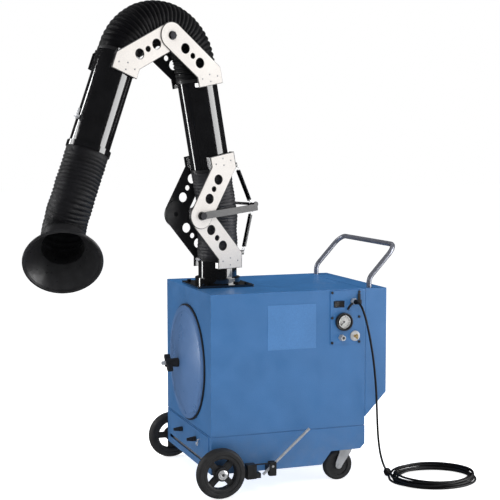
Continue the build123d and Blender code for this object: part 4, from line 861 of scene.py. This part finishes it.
far_side = Vector((0.35, 0.93, 0))
column_side = Vector((-0.94, 0.34, 0)) - far_side * 0.55
BAND = (83.2, 12)
band("column_band", column_end.at(AXIS_T, 186), UP, *BAND, "turret", column_side)
band("inner_low_band", inner_low.at(AXIS_T, 165), INNER_WAY, *BAND, "inner_arm", far_side)
band("inner_top_band", inner_top.at(AXIS_T, 193), INNER_WAY, *BAND, "inner_arm", far_side)
band("outer_band", outer_end.at(AXIS_T, 143), OUTER_WAY, *BAND, "outer_arm", far_side)

# ------------------------------------------------------------ plate details
PLATE_OUT = 95.2
COVER_OUT_LOW = 89.0
RIVET_PROFILE = [(-0.5, 3.4), (0.6, 3.3), (1.4, 2.2), (1.7, 0.01)]


def rivets(name, link, face_n, body, spots):
    """Low round heads on both sides of the arm, at places given along and across a link."""
    heads = []
    for side in (-1, 1):
        for t, s in spots:
            centre = link.at(t, s, side * face_n)
            heads.append(turned(centre, ACROSS * side, RIVET_PROFILE, 16))
    made = piece(name, *merge(*heads), dull_zinc, "zinc")
    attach(made, body)


TAB_SPOTS = [(112, 190), (150, 206), (188, 190), (150, 178)]
rivets("column_rivets", column_end, COVER_OUT_LOW, "turret", TAB_SPOTS)
rivets("inner_low_rivets", inner_low, PLATE_OUT, "inner_arm", TAB_SPOTS)
rivets("inner_top_rivets", inner_top, PLATE_OUT, "inner_arm", TAB_SPOTS)
rivets("outer_rivets", outer_end, COVER_OUT_LOW, "outer_arm", TAB_SPOTS)

# ------------------------------------------------------------ cabinet details
panel_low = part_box("control_panel")[0]
NEAR = Vector((0, -1, 0))


def on_panel(x, z, out=0.0):
    """A point on the panel's front, given in cart millimetres, and how far it stands out."""
    spot = cart(x, 0, z)
    return Vector((spot.x, panel_low.y - out / 1000, spot.z))


LABEL_CORNER = (236, 565)
LABEL_SIZE = (0.207, 0.180)
LABEL_FILM = 0.0011
label_corner = cart(LABEL_CORNER[0], 0, LABEL_CORNER[1])
label_corner.y = cab_low.y + 0.0002
label_edges = (Vector((LABEL_SIZE[0], 0, 0)), NEAR * LABEL_FILM, Vector((0, 0, LABEL_SIZE[1])))
label = bevelled(piece("side_label", *slab(label_corner, label_edges), label_blue, smooth=False), 0.0004)
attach(label, "cart")

gauge_low, gauge_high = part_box("gauge_case")
gauge_mid = (gauge_low + gauge_high) / 2
gauge_seat = Vector((gauge_mid.x, panel_low.y, gauge_mid.z))
dial_centre = gauge_seat + NEAR * 0.0031
DIAL_R = 32.2
dial_profile = [(-0.4, 0.01), (-0.4, DIAL_R), (0.8, DIAL_R), (0.8, 0.01)]
dial = sharpen(piece("gauge_dial", *turned(dial_centre, NEAR, dial_profile, 64), dial_white))
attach(dial, "cart")
MARKS = 28
MARK_SWEEP = 270
MARK_OUT = 0.0235
marks = []
for k in range(MARKS):
    angle = radians(MARK_SWEEP * (k / (MARKS - 1) - 0.5))
    way = Vector((sin(angle), 0, cos(angle)))
    side = Vector((cos(angle), 0, -sin(angle)))
    inner, wide = (0.0180, 0.0011) if k % 3 == 0 else (0.0205, 0.0006)
    corner = dial_centre + NEAR * 0.0009 + way * inner - side * wide / 2
    marks.append(slab(corner, (side * wide, way * (MARK_OUT - inner), NEAR * 0.0003)))
ticks = piece("gauge_ticks", *merge(*marks), black_plastic, smooth=False)
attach(ticks, "cart")
rim_profile = [(0.9, 26.6), (5.5, 26.9), (8.4, 29.2), (9.2, DIAL_R), (0.9, DIAL_R), (0.9, 26.6)]
rim_body = turned(dial_centre, NEAR, rim_profile, 64)
rim = sharpen(piece("gauge_rim", *rim_body, black_plastic, "black_plastic"))
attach(rim, "cart")
glass = Surface("gauge glass", Transmission_Weight=1.0, IOR=1.35, Roughness=0.02)
glass.rough(glass.spread(glass.noise(60), 0.0, 0.04))
glass_profile = [(9.6, 0.01), (9.6, DIAL_R), (10.6, DIAL_R), (11.6, 22), (12.2, 10), (12.4, 0.01)]
lens = piece("gauge_glass", *turned(gauge_seat, NEAR, glass_profile, 64), glass.material)
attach(lens, "cart")

rocker_low, rocker_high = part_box("rocker_switch")
rocker_mid = (rocker_low + rocker_high) / 2


def frame_ring(centre, half, border, thick):
    """A rectangular bezel round an opening, in millimetres."""
    w, h = half
    post = 2 * (h - border)
    bars = [
        (-w, -h, 2 * w, border),
        (-w, h - border, 2 * w, border),
        (-w, -h + border, border, post),
        (w - border, -h + border, border, post),
    ]
    parts = []
    for sx, sz, dx, dz in bars:
        corner = centre + Vector((sx, 0, sz)) / 1000
        edges = (Vector((dx / 1000, 0, 0)), NEAR * thick / 1000, Vector((0, 0, dz / 1000)))
        parts.append(slab(corner, edges))
    return merge(*parts)


BEZEL_HALF = (22.8, 13.3)
BEZEL_BAR = 2.6
bezel_centre = Vector((rocker_mid.x, panel_low.y, rocker_mid.z))
bezel_body = frame_ring(bezel_centre, BEZEL_HALF, BEZEL_BAR, BEZEL_BAR)
bezel = piece("switch_bezel", *bezel_body, black_plastic, "black_plastic", False)
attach(bezel, "cart")

CLIP_R = 0.0048
clip_corners = [on_panel(*spot) for spot in ((600, 741, 10), (590, 737, 14), (583, 728, 12), (581, 716, 2))]
clip_line = rounded_line(clip_corners, [0.010, 0.010], 0.002)
clip = piece("cord_clip", *tube(clip_line, CLIP_R, 16, True)[:2], black_plastic, "black_plastic")
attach(clip, "cart")

drawer_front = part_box("dust_drawer")[0].x


def on_drawer(y, z, out):
    """A point on the drawer's front, in cart millimetres, and how far it stands out."""
    spot = cart(0, y, z)
    return Vector((drawer_front - out / 1000, spot.y, spot.z))


LATCH_WIRE = 0.0022
LATCH_OUT = 9
latch_corners = [
    on_drawer(-170, 197, 1),
    on_drawer(-170, 197, LATCH_OUT),
    on_drawer(-170, 172, LATCH_OUT),
    on_drawer(-152, 172, LATCH_OUT),
    on_drawer(-152, 180, LATCH_OUT),
    on_drawer(-152, 180, 1),
]
latch_line = rounded_line(latch_corners, [0.004, 0.006, 0.006, 0.003], 0.0015)
latch = piece("drawer_latch", *tube(latch_line, LATCH_WIRE, 12, True)[:2], bright_steel, "zinc")
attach(latch, "drawer")

hub_finish = plastic("hub centre", (0.03, 0.03, 0.03), 0.4)
HUB_PROFILE = [
    (-6, 15.4),
    (-6, 19),
    (-3.5, 19.4),
    (-1.5, 17),
    (-0.2, 12),
    (0.6, 9),
    (0.2, 7),
    (-0.6, 6.5),
    (-0.6, 0.01),
]
DOT_PROFILE = [(-1.0, 6.4), (0.4, 6.2), (1.2, 4.5), (1.4, 0.01)]
axle_low, axle_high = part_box("front_axle")
axle_mid = (axle_low + axle_high) / 2
for name, side, end_y in (("near", -1, axle_low.y), ("far", 1, axle_high.y)):
    end = Vector((axle_mid.x, end_y, axle_mid.z))
    way = Vector((0, side, 0))
    cap = turned(end, way, HUB_PROFILE, 48)
    hub = sharpen(piece(name + "_hub_cap", *cap, bright_steel, "zinc"), 50)
    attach(hub, "cart")
    dot = turned(end, way, DOT_PROFILE, 24)
    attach(piece(name + "_hub_dot", *dot, hub_finish, "black_plastic"), "cart")
